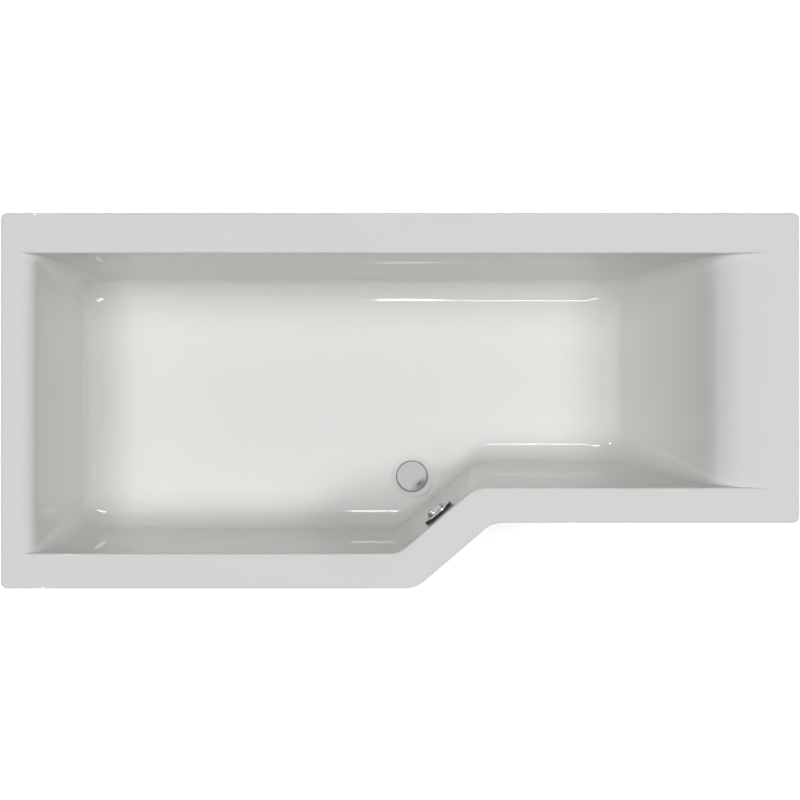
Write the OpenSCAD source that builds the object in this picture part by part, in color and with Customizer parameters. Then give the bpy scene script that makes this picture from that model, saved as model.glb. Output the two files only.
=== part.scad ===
// Straight-sided P shaped shower bath with its backing, cradle, feet, waste and overflow.
// Millimetres. The origin is on the floor under the middle of the bath. +X runs from the
// showering end to the backrest, +Y towards the wall, +Z up.

/* [Outline] */
// Length over the rim
bath_l = 1700; // [1650:5:1760]
// Width over the rim at the wide, showering end
wide_w = 800; // [780:5:840]
// How much narrower the rim is at the bathing end
narrow_step = 140; // [110:5:160]
// Length of the wide end, up to the diagonal
wide_l = 884; // [850:2:910]
// Angle between the diagonal and the long sides
diag_angle = 40.7; // [36:0.1:46]
// Radius of the rim's four square corners, seen from above
rim_corner_r = 13; // [8:1:24]
// Radius of the outer rim where the diagonal begins and ends
rim_bend_r = 58; // [40:1:80]

/* [Rim] */
// Rim width along the wall
rim_wall = 81; // [74:1:90]
// Rim width along the front, at both ends
rim_front = 70; // [64:1:80]
// Rim width along the diagonal
rim_diag = 76; // [68:1:84]
// Flat rim width at the showering end
rim_foot = 30; // [26:1:40]
// Flat rim width behind the backrest
rim_head = 37; // [30:1:46]
// Depth of the rim's turned down lip
lip_h = 30; // [20:1:34]
// Radius along the rim's outer edge
lip_edge_r = 4; // [2:0.5:4.5]

/* [Inside] */
// Height of the floor of the bath above the ground
floor_up = 150; // [145:1:180]
// Depth from the rim to the floor of the bath
depth = 410; // [380:5:430]
// Radius of the inner edge on the long sides and the diagonal
edge_r = 5; // [4:0.5:8]
// Slope of the wall side, from upright
wall_draft = 5; // [3:0.1:9]
// Slope of the front side at the wide end, from upright
front_draft = 4.2; // [3:0.1:9]
// Slope of the front side at the narrow end, from upright
narrow_draft = 7; // [4:0.1:10]
// Slope of the diagonal, from upright
diag_draft = 3; // [2:0.5:4]
// Slope of the showering end, from upright
foot_draft = 4.5; // [3:0.5:7]
// Radius of the rolled edge at the showering end
foot_roll_r = 42; // [30:1:50]
// Radius between the floor and the wall side
wall_fillet_r = 80; // [55:1:110]
// Radius between the floor and the front side at the wide end
front_fillet_r = 66; // [55:1:90]
// Radius between the floor and the front side at the narrow end
narrow_fillet_r = 64; // [55:1:90]
// Radius between the floor and the diagonal
diag_fillet_r = 40; // [34:1:44]
// Radius between the floor and the showering end
foot_fillet_r = 44; // [36:1:60]
// Radius of the slow roll from the rim to the backrest
head_lead_r = 300; // [200:10:400]
// Slope where that slow roll ends, from level
head_lead_a = 15; // [10:1:20]
// Radius of the shoulder of the backrest
head_roll_r = 110; // [90:2:126]
// Slope of the backrest, from level
head_slope = 68.5; // [64:0.5:72]
// Radius of the hollow at the small of the back
lumbar_r = 900; // [600:20:1100]
// Slope of the backrest where it meets its floor fillet, from level
lumbar_slope = 60; // [56:1:62]
// Radius between the floor and the backrest
head_fillet_r = 66; // [50:1:80]
// Radius of the inside corners at the rim
corner_top_r = 7; // [5:0.5:12]
// Radius of the inside corners at the floor
corner_floor_r = 60; // [40:1:80]
// Radius at the rim where the inner diagonal begins and ends
inner_bend_r = 57; // [45:1:70]

/* [Shell and base] */
// Thickness of the acrylic sheet
shell_t = 5; // [4:0.5:5]
// Thickness of the glass fibre backing
laminate_t = 3; // [2:0.5:4]
// Thickness of the chipboard base
board_t = 18; // [15:1:22]
// Thickness of the timber strips under the rim
batten_t = 22; // [22:1:26]
// Width of those strips
batten_w = 40; // [30:1:42]
// Distance from the rim's outer edge to a strip
batten_in = 16; // [14:1:20]

/* [Cradle and feet] */
// Distance from the showering end to its cross rail
foot_rail_in = 330; // [280:5:380]
// Distance from the backrest end to its cross rail
head_rail_in = 500; // [450:5:520]
// Distance of the middle foot from the showering end
mid_foot_in = 690; // [660:5:730]
// Distance from the rim's outer edge to a foot
foot_in = 96; // [90:1:110]
// Width of a steel rail
rail_w = 40; // [36:1:50]
// Height of a steel rail
rail_h = 25; // [22:1:30]
// Thickness of the rail's steel
rail_t = 2; // [1.5:0.5:3]
// Radius of a foot's threaded stud
stud_r = 5; // [4:0.5:6]
// Radius of a foot's pad
pad_r = 25; // [20:1:30]
// Height of a foot's pad
pad_h = 20; // [16:1:24]
// Width across the flats of a nut
nut_af = 17; // [16:0.5:19]
// Height of a nut
nut_h = 8; // [6:0.5:9]

/* [Wall brackets] */
// Distance between the two wall brackets
bracket_gap = 900; // [700:10:1100]
// Width of a wall bracket
bracket_w = 40; // [36:1:60]
// Thickness of a wall bracket
bracket_t = 2.5; // [2:0.5:3]
// Length of the bracket's leg on the wall
bracket_drop = 60; // [50:1:90]
// Radius of the hole for the wall screw
wall_hole_r = 3.5; // [3:0.5:4.5]

/* [Waste] */
// Distance of the waste from the inner edge of the diagonal
waste_in = 94; // [92:1:98]
// Distance of the waste along the diagonal, from its lower corner
waste_along = 120; // [110:1:126]
// Radius of the hole in the bath for the waste
waste_hole_r = 26; // [25.5:0.5:28]
// Depth of the dished seat round the waste
dish_d = 3; // [2:0.5:3.5]
// Radius of the flat bottom of the dished seat
dish_r = 40; // [39:0.5:42]
// Radius of the waste flange
flange_r = 38; // [37:0.5:38.5]
// Radius of the flange's threaded neck
neck_r = 24.5; // [23.5:0.5:25]
// Radius of the plug's cap
cap_r = 35.5; // [33:0.5:36]
// Lift of the plug
plug_lift = 9; // [7:0.5:10]
// Radius of the plug's stem
stem_r = 4; // [3.5:0.25:5]
// Radius of the waste's outlet thread, inch and a half pipe
outlet_r = 23.9; // [23.9:0.1:24.5]
// Length of the outlet
outlet_l = 26; // [20:1:28]

/* [Overflow] */
// Depth of the overflow's middle below the rim
overflow_d = 62; // [58:1:80]
// Radius of the hole in the bath for the overflow
overflow_hole_r = 26; // [25:0.5:28]
// Radius of the overflow's rosette
rosette_r = 33.5; // [31:0.5:36]
// How far the rosette stands off the wall of the bath
rosette_h = 9; // [7:0.5:12]
// Radius of the turning knob
knob_r = 20; // [17:0.5:24]
// Height of the turning knob
knob_h = 9; // [8:0.5:14]
// Radius of the knob's shaft
shaft_r = 5; // [4:0.5:6]

/* [Hose and cable] */
// Bore radius of the overflow hose
hose_bore_r = 13; // [12:0.5:14]
// Radius at the root of the hose's ribs
hose_root_r = 15.6; // [15.6:0.1:16]
// Radius at the crest of the hose's ribs
hose_crest_r = 17; // [16.5:0.5:18]
// Distance from rib to rib
rib_pitch = 5; // [4:0.5:8]
// Radius of the hose's bend, at its middle
hose_bend_r = 42; // [38:1:46]
// Depth of the hose's inlet below the floor of the bath
inlet_drop = 50; // [46:1:54]
// Radius of the control cable
cable_r = 3; // [2.5:0.25:3.5]

/* [Hidden] */

$fn = 48;

// Gap between parts that are bonded or clamped together, and between parts that turn or slide
seat = 0.3;
run_gap = 0.06;

// Edges of the outline, in order round the bath
FRONT = 0; DIAG = 1; NARROW = 2; HEAD = 3; WALL = 4; FOOT = 5;
y_wall = wide_w / 2;
narrow_w = wide_w - narrow_step;
diag_x = -bath_l / 2 + wide_l;
outline = [[-bath_l / 2, -y_wall], [diag_x, -y_wall],
    [diag_x + narrow_step / tan(diag_angle), y_wall - narrow_w],
    [bath_l / 2, y_wall - narrow_w], [bath_l / 2, y_wall], [-bath_l / 2, y_wall]];
edge_angle = [0, diag_angle, 0, 90, 180, 270];
rims = [rim_front, rim_diag, rim_front, rim_head, rim_wall, rim_foot];

// One side of the basin: slow roll radius and end slope, edge radius, slope of the wall,
// hollow radius and end slope, floor fillet radius
function plain_side(roll, draft, fillet) = [0, 0, roll, 90 - draft, 0, 90 - draft, fillet];
sides = [plain_side(edge_r, front_draft, front_fillet_r),
    plain_side(edge_r, diag_draft, diag_fillet_r),
    plain_side(edge_r, narrow_draft, narrow_fillet_r),
    [head_lead_r, head_lead_a, head_roll_r, head_slope, lumbar_r, lumbar_slope, head_fillet_r],
    plain_side(edge_r, wall_draft, wall_fillet_r),
    plain_side(foot_roll_r, foot_draft, foot_fillet_r)];

// Heights
z_floor = floor_up;
rim_h = z_floor + depth;
inlet_z = z_floor - inlet_drop;
z_shell = z_floor - shell_t;
z_laminate = z_shell - seat - laminate_t;
z_board = z_laminate - board_t;
z_rail = z_board - rail_t;
back_t = shell_t + seat;
full_t = back_t + laminate_t;

// How far a side has come in from the edge of the opening at depth d, for a skin that lies
// t behind the surface of the basin
function root(a) = sqrt(max(0, a));
function run(s, d, t = 0) = let (
    d1 = s[0] * (1 - cos(s[1])), x1 = s[0] * sin(s[1]),
    d2 = d1 + s[2] * (cos(s[1]) - cos(s[3])), x2 = x1 + s[2] * (sin(s[3]) - sin(s[1])),
    d4 = depth - s[6] * (1 - cos(s[5])), d3 = d4 - s[4] * (cos(s[5]) - cos(s[3])),
    x3 = x2 + (d3 - d2) / tan(s[3]), x4 = x3 + s[4] * (sin(s[3]) - sin(s[5])),
    x5 = x4 + s[6] * sin(s[5]))
    d < d1 + t * cos(s[1]) ? root(pow(s[0] - t, 2) - pow(s[0] - d, 2)) :
    d < d2 + t * cos(s[3]) ? x1 - s[2] * sin(s[1])
        + root(pow(s[2] - t, 2) - pow(d1 + s[2] * cos(s[1]) - d, 2)) :
    d <= d3 + t * cos(s[3]) ? x2 - t * sin(s[3]) + (d - d2 - t * cos(s[3])) / tan(s[3]) :
    d < d4 + t * cos(s[5]) ? x3 + s[4] * sin(s[3])
        - root(pow(s[4] + t, 2) - pow(d - d3 + s[4] * cos(s[3]), 2)) :
    x5 - root(pow(s[6] + t, 2) - pow(d - depth + s[6], 2));

// Unit vectors along an edge and inwards from it
function along(i) = [cos(edge_angle[i]), sin(edge_angle[i])];
function inward(i) = [-sin(edge_angle[i]), cos(edge_angle[i])];

// Corner i of the outline with its two edges moved in by the offsets in o
function corner(o, i) = let (
    a = (i + 5) % 6,
    p = outline[i] + inward(a) * o[a],
    q = outline[i] + inward(i) * o[i],
    turn = cross(along(a), along(i)))
    p + along(a) * cross(q - p, along(i)) / turn;

// A level ring round the bath: edges moved in by o, corners rounded by r, at height z
CORNER_POINTS = 7;
function ring(o, r, z) = [for (i = [0:5]) let (
    a = (i + 5) % 6,
    turn = (edge_angle[i] - edge_angle[a] + 540) % 360 - 180,
    side = sign(turn),
    v = corner(o, i),
    from = v - along(a) * r[i] * tan(abs(turn) / 2),
    centre = from + inward(a) * r[i] * side)
    for (j = [0:CORNER_POINTS - 1]) let (
        w = turn * j / (CORNER_POINTS - 1),
        n = -side * r[i] * inward(a))
        [centre[0] + n[0] * cos(w) - n[1] * sin(w), centre[1] + n[0] * sin(w) + n[1] * cos(w), z]];

// Ring of the basin at depth d, on a skin that lies t behind its surface
function square_corner_r(d) = corner_top_r + (corner_floor_r - corner_top_r) * sin(90 * d / depth);
function basin_offsets(d, t) = [for (i = [0:5]) rims[i] + run(sides[i], d, t)];
function basin_ring(d, t) = let (
    s = max(0, d - t),
    q = square_corner_r(s) + t,
    hip = inner_bend_r + 0.8 * run(sides[DIAG], s) - t)
    ring(basin_offsets(d, t), [q, inner_bend_r + t, hip, q, q, q], rim_h - d);
opening_r = let (q = corner_top_r) [q, inner_bend_r, inner_bend_r, q, q, q];
function basin_rings(t, n) =
    [for (k = [n:-1:0]) basin_ring(t + depth * (1 - cos(180 * k / n)) / 2, t)];

// Ring of the rim, o inside the outline and d below its top
function rim_ring(o, d) = let (q = rim_corner_r - o)
    ring([o, o, o, o, o, o], [q, rim_bend_r - o, rim_bend_r + o, q, q, q], rim_h - d);
function reversed(list) = [for (i = [len(list) - 1:-1:0]) list[i]];

// Number of steps from rim to floor: skins that lie on each other have the same ones
SKIN_STEPS = 16;

// Closed skin through a list of rings, with the first and the last one capped: the first one's
// cap faces up
module skin(rings) {
    n = len(rings[0]);
    last = (len(rings) - 1) * n;
    polyhedron(
        points = [for (r = rings) each r],
        faces = concat([[for (j = [n - 1:-1:0]) j]],
            [for (k = [0:len(rings) - 2], j = [0:n - 1]) let (a = k * n + j, b = k * n + (j + 1) % n)
                [a, b, b + n, a + n]],
            [[for (j = [0:n - 1]) last + j]]));
}

// Places: the waste with +X towards the diagonal wall, and the overflow with +X up that wall
// and +Z into the bath
inner_corner = corner(rims, DIAG);
waste_xy = inner_corner + along(DIAG) * waste_along + inward(DIAG) * waste_in;
module at_waste() translate([waste_xy[0], waste_xy[1], 0]) rotate(diag_angle - 90) children();
overflow_u = waste_in - run(sides[DIAG], overflow_d);
overflow_z = rim_h - overflow_d;
module at_overflow() at_waste() translate([overflow_u, 0, overflow_z])
    rotate([0, diag_draft - 90, 0]) children();

module tube(r_out, r_in, h) difference() {
    cylinder(r = r_out, h = h);
    translate([0, 0, -1]) cylinder(r = r_in, h = h + 2);
}
module hex(af, h) cylinder(r = af / sqrt(3), h = h, $fn = 6);

// ---- Shell, backing and base ----

z_seat = z_floor - dish_d;
dish_slope = 10;
dish_rise = 12;
pan_r = dish_r + dish_slope + 4;

// Vacuum formed acrylic sheet: basin, rim and turned down lip in one, with a dished seat
// round the waste hole and a hole for the overflow in the diagonal wall
module bath_shell() color("whitesmoke") difference() {
    union() {
        skin(concat([for (w = [0, 45, 90]) rim_ring(lip_edge_r * (1 - sin(w)), lip_edge_r * (1 - cos(w)))],
            [rim_ring(0, lip_h), rim_ring(shell_t, lip_h), rim_ring(shell_t, shell_t)],
            reversed(basin_rings(shell_t, SKIN_STEPS))));
        at_waste() translate([0, 0, z_seat - shell_t]) cylinder(r = pan_r, h = shell_t + dish_rise);
    }
    skin(concat([ring(rims, opening_r, rim_h + 1)], reversed(basin_rings(0, 20))));
    at_waste() {
        rotate_extrude() polygon([[0, z_seat], [dish_r, z_seat], [dish_r + dish_slope, z_floor],
            [dish_r + 1.8 * dish_slope, z_floor + dish_rise], [0, z_floor + dish_rise]]);
        translate([0, 0, z_seat - shell_t - 1]) cylinder(r = waste_hole_r, h = shell_t + 2);
    }
    at_overflow() translate([0, 0, -shell_t - 3]) cylinder(r = overflow_hole_r, h = shell_t + 6);
}

// Glass fibre laminate sprayed on the back of the shell, left off round the two holes
laminate_edge = shell_t + 5;
waste_clear_r = pan_r + 6;
overflow_clear_r = 42;
module laminate() color("burlywood") difference() {
    skin(concat(basin_rings(back_t, SKIN_STEPS), [rim_ring(laminate_edge, back_t),
        rim_ring(laminate_edge, full_t)], reversed(basin_rings(full_t, SKIN_STEPS))));
    at_waste() translate([0, 0, z_laminate - 5]) cylinder(r = waste_clear_r, h = full_t + 20);
    at_overflow() translate([0, 0, -full_t - 5]) cylinder(r = overflow_clear_r, h = full_t + 8);
}

// Feet: two on each rail and one in the middle
foot_x = [-bath_l / 2 + foot_rail_in, bath_l / 2 - head_rail_in, -bath_l / 2 + mid_foot_in];
foot_wall_y = y_wall - foot_in;
feet = [[foot_x[0], foot_wall_y], [foot_x[0], -y_wall + foot_in], [foot_x[1], foot_wall_y],
    [foot_x[1], y_wall - narrow_w + foot_in], [foot_x[2], 0]];
// How far a rail runs past its feet
rail_over = 24;
screw_r = 2.5;
screw_head_r = 5;
screw_in = 14;

// Screws that hold a rail: three pairs along the stretch that lies under the board
screw_x = 10;
function rail_screws(x, y0, y1) = [for (y = [y0, (y0 + y1) / 2, y1], s = [-1, 1]) [x + s * screw_x, y]];
floor_o = basin_offsets(depth, 0);
board_edge = 8;
screw_edge = board_edge + 30;
board_y = [y_wall - floor_o[WALL] - screw_edge, -y_wall + floor_o[FRONT] + screw_edge,
    y_wall - narrow_w + floor_o[NARROW] + screw_edge];
plate_l = 116;
plate_w = 44;
plate_lip = 8;
plate_lip_l = 80;
plate_screws = [for (x = [-1, 1], y = [-1, 1]) [x * (plate_l / 2 - 10), y * (plate_w / 2 - 8)]];
mid_screws = [for (p = plate_screws) p + feet[4]];
board_screws = concat(rail_screws(foot_x[0], board_y[1], board_y[0]),
    rail_screws(foot_x[1], board_y[2], board_y[0]), mid_screws);

// Chipboard panel bonded under the floor, cut away round the waste
module baseboard() color("tan") difference() {
    translate([0, 0, z_board]) linear_extrude(board_t)
        polygon([for (p = ring(floor_o + [for (i = [0:5]) board_edge],
            [30, 40, 60, 30, 30, 30], 0)) [p[0], p[1]]]);
    at_waste() translate([0, 0, z_board - 1]) cylinder(r = waste_clear_r + 4, h = board_t + 2);
    translate([feet[4][0], feet[4][1], z_board - 1]) cylinder(r = stud_r + 2, h = board_t + 2);
    for (p = board_screws) translate([p[0], p[1], z_board - 1])
        cylinder(r = screw_r, h = screw_in + 1, $fn = 24);
}

// Timber strips bonded under the rim, which stiffen it and take screws
z_batten = rim_h - full_t - batten_t;
module strip(x0, x1, y0, y1) translate([x0, y0, z_batten])
    difference() {
        cube([x1 - x0, y1 - y0, batten_t]);
        for (x = [0, x1 - x0], y = [0, y1 - y0]) translate([x, y, -1]) rotate(45)
            translate([-3, -3, 0]) cube([6, 6, batten_t + 2]);
    }
front_y = -y_wall;
narrow_y = y_wall - narrow_w;
batten_end = 90;
batten_bend = 40;
bracket_screw_x = 12;
bracket_screw_y = y_wall - batten_in - batten_w / 2;
bracket_x = [-bracket_gap / 2, bracket_gap / 2];
module rim_battens() color("peru") difference() {
    union() {
        strip(-bath_l / 2 + batten_end, bath_l / 2 - batten_end, y_wall - batten_in - batten_w,
            y_wall - batten_in);
        strip(-bath_l / 2 + batten_end, diag_x - batten_bend, front_y + batten_in,
            front_y + batten_in + batten_w);
        strip(outline[NARROW][0] + batten_bend, bath_l / 2 - batten_end, narrow_y + batten_in,
            narrow_y + batten_in + batten_w);
    }
    for (x = bracket_x, s = [-1, 1]) translate([x + s * bracket_screw_x, bracket_screw_y, z_batten - 1])
        cylinder(r = screw_r, h = screw_in + 1, $fn = 24);
}

// ---- Cradle and feet ----

// Steel channel, open side down, with holes for its screws and for the studs of two feet
module rail(x, y0, y1, screws) color("silver") difference() {
    translate([x, y0 - rail_over, z_board]) rotate([-90, 0, 0]) linear_extrude(y1 - y0 + 2 * rail_over)
        difference() {
            rounded_bar(rail_w, rail_h, rail_t * 1.5);
            translate([0, rail_t]) rounded_bar(rail_w - 2 * rail_t, rail_h, rail_t * 0.5);
        }
    for (y = [y0, y1]) translate([x, y, z_rail - 1]) cylinder(r = stud_r + 0.5, h = rail_t + 2);
    for (p = screws) translate([p[0], p[1], z_rail - 1])
        cylinder(r = screw_r + 0.25, h = rail_t + 2, $fn = 24);
}
// Section of a bent channel's outside: a bar with its two upper corners rounded, y down
module rounded_bar(w, h, r) {
    translate([-w / 2, r]) square([w, h - r]);
    translate([-w / 2 + r, 0]) square([w - 2 * r, r + 0.01]);
    for (s = [-1, 1]) translate([s * (w / 2 - r), r]) circle(r = r, $fn = 24);
}
module foot_end_rail()
    rail(foot_x[0], feet[1][1], feet[0][1], rail_screws(foot_x[0], board_y[1], board_y[0]));
module head_end_rail()
    rail(foot_x[1], feet[3][1], feet[2][1], rail_screws(foot_x[1], board_y[2], board_y[0]));

// Steel plate that holds the middle foot against the base
module mid_bracket() color("silver") translate([feet[4][0], feet[4][1], z_rail]) difference() {
    union() {
        translate([-plate_l / 2, -plate_w / 2, 0]) cube([plate_l, plate_w, rail_t]);
        for (y = [-plate_w / 2, plate_w / 2 - rail_t]) translate([-plate_lip_l / 2, y, -plate_lip])
            cube([plate_lip_l, rail_t, plate_lip + rail_t / 2]);
    }
    translate([0, 0, -1]) cylinder(r = stud_r + 0.5, h = rail_t + 2);
    for (p = plate_screws) translate([p[0], p[1], -1])
        cylinder(r = screw_r + 0.25, h = rail_t + 2, $fn = 24);
}

// Pan headed screws up through the rails and the plate into the base
module screw(l) {
    cylinder(r = screw_r - run_gap, h = l, $fn = 24);
    translate([0, 0, -3]) rotate_extrude($fn = 32)
        polygon([[0, 0.8], [screw_head_r * 0.6, 0], [screw_head_r, 1.6], [screw_head_r, 3], [0, 3]]);
}
module base_screws() color("gainsboro")
    for (p = board_screws) translate([p[0], p[1], z_rail]) screw(rail_t + screw_in - 1);

// Foot: pad on the floor and a threaded stud fixed in it
stud_in = 5;
module foot_pad(i) color("dimgray") translate([feet[i][0], feet[i][1], 0]) difference() {
    union() {
        rotate_extrude() polygon([[0, 0], [pad_r - 1, 0], [pad_r, 1], [pad_r, 4], [pad_r - 2, 6],
            [stud_r + 6, 8], [stud_r + 4.5, pad_h - 1], [stud_r + 3.5, pad_h], [0, pad_h]]);
        for (a = [0:60:300]) rotate(a) translate([stud_r + 3, -1, 4])
            cube([pad_r - stud_r - 5, 2, 4.5]);
    }
    translate([0, 0, stud_in]) cylinder(r = stud_r, h = pad_h);
}
// Tops of the studs: the four on the rails are free above, the middle one ends inside the board
stud_top = z_board + nut_h + 24;
mid_stud_top = z_board + 10;
module foot_stud(i) color("lightgray") translate([feet[i][0], feet[i][1], 0]) {
    top = (i == 4 ? mid_stud_top : stud_top) - stud_in;
    translate([0, 0, stud_in]) rotate_extrude()
        polygon([[0, 0], [stud_r, 0], [stud_r, top - 1], [stud_r - 1, top], [0, top]]);
    translate([0, 0, pad_h]) hex(nut_af, nut_h * 0.6);
}
// Nuts that clamp the studs to the rails, one under each sheet and one above at the four corners
module nut_at(p, z) translate([p[0], p[1], z]) difference() {
    intersection() {
        hex(nut_af, nut_h);
        rotate_extrude() polygon([[0, 0], [nut_af / 2, 0], [nut_af / sqrt(3), 1],
            [nut_af / sqrt(3), nut_h - 1], [nut_af / 2, nut_h], [0, nut_h]]);
    }
    translate([0, 0, -1]) cylinder(r = stud_r + run_gap, h = nut_h + 2);
}
module stud_nuts() color("lightgray") for (i = [0:4]) {
    nut_at(feet[i], z_rail - nut_h);
    if (i < 4) nut_at(feet[i], z_board);
}

// ---- Wall brackets ----

// Bent steel angle with two small webs, screwed up into the strip, and on the wall side a hole
bracket_web = 22;
wall_hole_up = 14;
module wall_brackets() color("silver") for (x = bracket_x)
    translate([x, y_wall, z_batten - bracket_t]) difference() {
        union() {
            translate([-bracket_w / 2, -batten_in - batten_w, 0])
                cube([bracket_w, batten_in + batten_w, bracket_t]);
            translate([-bracket_w / 2, -bracket_t, -bracket_drop])
                cube([bracket_w, bracket_t, bracket_drop + bracket_t / 2]);
            for (s = [-1, 1]) translate([s * (bracket_w / 2 - 1) - 1, -bracket_t, 0.5]) rotate([90, 0, 90])
                linear_extrude(2) polygon([[0.5, 0], [-bracket_web, 0], [0.5, -bracket_web]]);
        }
        for (s = [-1, 1]) translate([s * bracket_screw_x, bracket_screw_y - y_wall, -1])
            cylinder(r = screw_r + 0.25, h = bracket_t + 2, $fn = 24);
        translate([0, 1, wall_hole_up - bracket_drop]) rotate([90, 0, 0])
            cylinder(r = wall_hole_r, h = bracket_t + 2);
    }
module bracket_screws() color("gainsboro") for (x = bracket_x, s = [-1, 1])
    translate([x + s * bracket_screw_x, bracket_screw_y, z_batten - bracket_t])
        screw(bracket_t + screw_in - 1);

// ---- Waste ----

flange_seal_t = 1.5;
body_seal_t = 3;
z_flange = z_seat + flange_seal_t;
flange_t = 2.5;
neck_l = 28;
z_neck = z_flange - neck_l;
neck_bore_r = neck_r - 2;
boss_h = 7;
z_body = z_seat - shell_t - body_seal_t;
body_flange_t = 5;
clamp_r = 43;
chamber_r = 27;
chamber_wall = 3;
z_chamber_top = z_neck - 4;
z_chamber = inlet_z - 30;
z_outlet = z_chamber - 6 - outlet_l;

// Chromed flange: dished ring, threaded neck and a spider that guides the plug's stem
module waste_flange() color("lightgray") at_waste() {
    rotate_extrude($fn = 96) polygon([[neck_bore_r, z_neck], [neck_r, z_neck], [neck_r, z_flange],
        [flange_r, z_flange], [flange_r, z_flange + 0.8], [flange_r - 1.5, z_flange + flange_t],
        [flange_r - 4.5, z_flange + flange_t], [neck_bore_r + 6, z_flange + 1.6],
        [neck_bore_r, z_flange + 0.2]]);
    translate([0, 0, z_neck + 2]) {
        difference() {
            union() {
                cylinder(r = stem_r + 3, h = boss_h);
                for (a = [45:90:315]) rotate(a) translate([stem_r + 2, -1.2, 1])
                    cube([neck_bore_r - stem_r - 1, 2.4, boss_h - 2]);
            }
            translate([0, 0, -1]) cylinder(r = stem_r + run_gap, h = boss_h + 2);
        }
    }
}
module flange_seal() color("white") at_waste() translate([0, 0, z_seat])
    tube(flange_r - 1, waste_hole_r + 0.5, flange_seal_t);
module body_seal() color("black") at_waste() translate([0, 0, z_body])
    tube(clamp_r - 1, waste_hole_r + 0.5, body_seal_t);

// Moulded waste body: flange under the bath, chamber for the lifting lever, outlet below,
// inlet for the overflow hose and a gland for the control cable at its side
collar_r = 19;
collar_u = 33;
spigot_r = hose_bore_r - 0.2;
spigot_bore_r = spigot_r - 2.3;
spigot_l = 16;
gland_r = 5;
gland_v = 15;
gland_z = inlet_z - 25;
gland_u = 40;
module waste_body() color("dimgray") at_waste() difference() {
    union() {
        rotate_extrude($fn = 72) polygon([[0, z_outlet], [outlet_r - 1, z_outlet], [outlet_r, z_outlet + 1],
            [outlet_r, z_chamber - 6], [chamber_r + chamber_wall, z_chamber + 2],
            [chamber_r + chamber_wall, z_body - body_flange_t - 6],
            [clamp_r, z_body - body_flange_t], [clamp_r, z_body], [0, z_body]]);
        translate([0, 0, inlet_z]) rotate([0, 90, 0]) {
            cylinder(r = collar_r, h = collar_u);
            cylinder(r = spigot_r, h = collar_u + spigot_l);
        }
        translate([0, gland_v, gland_z]) rotate([0, 90, 0]) cylinder(r = gland_r, h = gland_u, $fn = 32);
    }
    rotate_extrude($fn = 72) polygon([[0, z_outlet - 1], [outlet_r - 3.2, z_outlet - 1],
        [outlet_r - 3.2, z_chamber - 5], [chamber_r, z_chamber + 2], [chamber_r, z_chamber_top - 3],
        [neck_r + run_gap, z_chamber_top], [neck_r + run_gap, z_body + 1], [0, z_body + 1]]);
    translate([0, 0, inlet_z]) rotate([0, 90, 0]) cylinder(r = spigot_bore_r, h = collar_u + spigot_l + 1);
    translate([0, gland_v, gland_z]) rotate([0, 90, 0]) {
        cylinder(r = 1.4, h = gland_u + 1, $fn = 24);
        translate([0, 0, gland_u - 9]) cylinder(r = cable_r + 0.4, h = 10, $fn = 32);
    }
    translate([lever_u, 0, lever_z]) rotate([90, 0, 0])
        cylinder(r = pin_r, h = 2 * (chamber_r + chamber_wall) + 2, center = true, $fn = 24);
}

// Bell crank in the chamber that lifts the plug, on a pin across the chamber
lever_u = -16;
lever_z = inlet_z - 8;
lever_l = 16;
lever_swing = 2 * asin(plug_lift / 2 / lever_l);
pin_r = 2;
tip_r = 3;
lever_tip_z = lever_z - lever_l * sin(lever_swing / 2);
module lift_lever() color("goldenrod") at_waste() translate([lever_u, 0, lever_z]) rotate([90, 0, 0])
    difference() {
        union() {
            translate([0, 0, -17]) cylinder(r = 4, h = 23, $fn = 32);
            rotate(-lever_swing / 2) translate([0, -2, -3]) cube([lever_l, 4, 6]);
            rotate(-lever_swing / 2) translate([lever_l, 0, -3]) cylinder(r = tip_r, h = 6, $fn = 32);
            translate([-2, -19, -17]) cube([4, 17, 5]);
        }
        translate([0, 0, -18]) cylinder(r = pin_r + run_gap, h = 25, $fn = 24);
    }
module lever_pin() color("silver") at_waste() translate([lever_u, 0, lever_z]) rotate([90, 0, 0])
    cylinder(r = pin_r, h = 2 * 24.5, center = true, $fn = 24);

// Plug: domed cap, rubber seal under it and a stem down to the lever
plug_seal_t = 1.3;
z_plug = z_flange + flange_t + seat;
module plug_cap() color("silver") at_waste() rotate_extrude($fn = 96)
    polygon(concat([[0, z_plug]], [[stem_r + 6, z_plug], [cap_r - 6, z_plug], [cap_r - 1.5, z_plug],
        [cap_r - 0.3, z_plug + 0.5], [cap_r, z_plug + 1.4], [cap_r - 0.5, z_plug + 2.3]],
        [for (k = [0:5]) let (f = 0.94 * (1 - k / 5)) [cap_r * f, z_plug + 2.6 + 1.6 * (1 - f * f)]]));
module plug_seal() color("black") at_waste() translate([0, 0, z_plug - plug_seal_t])
    tube(neck_bore_r + 4, stem_r + 6, plug_seal_t);
stem_foot = lever_tip_z + tip_r + 0.4;
module plug_stem() color("white") at_waste() rotate_extrude($fn = 32)
    polygon([[0, stem_foot], [stem_r - 1.5, stem_foot], [stem_r, stem_foot + 1.5], [stem_r, z_plug - 6],
        [stem_r + 5.5, z_plug - plug_seal_t - 0.8], [stem_r + 5.5, z_plug], [0, z_plug]]);

// ---- Overflow ----

gasket_t = 3;
insert_t = 2.5;
insert_r = overflow_hole_r + 3;
insert_neck_r = overflow_hole_r - 4;
insert_bore_r = insert_neck_r - 2.5;
insert_l = 24;
body_top = -shell_t - gasket_t;
body_flange_r = overflow_hole_r + 12;
of_chamber_r = 28;
outlet_w = -36;
of_bottom = outlet_w - collar_r - 2;
of_chamber_l = body_top - of_bottom - 2;
of_collar_x = 42;

// Threaded ring that clamps the bath wall to the overflow body
module overflow_insert() color("silver") at_overflow() {
    tube(insert_r, insert_bore_r, insert_t);
    translate([0, 0, -insert_l]) tube(insert_neck_r, insert_bore_r, insert_l + 0.5);
}

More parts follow.
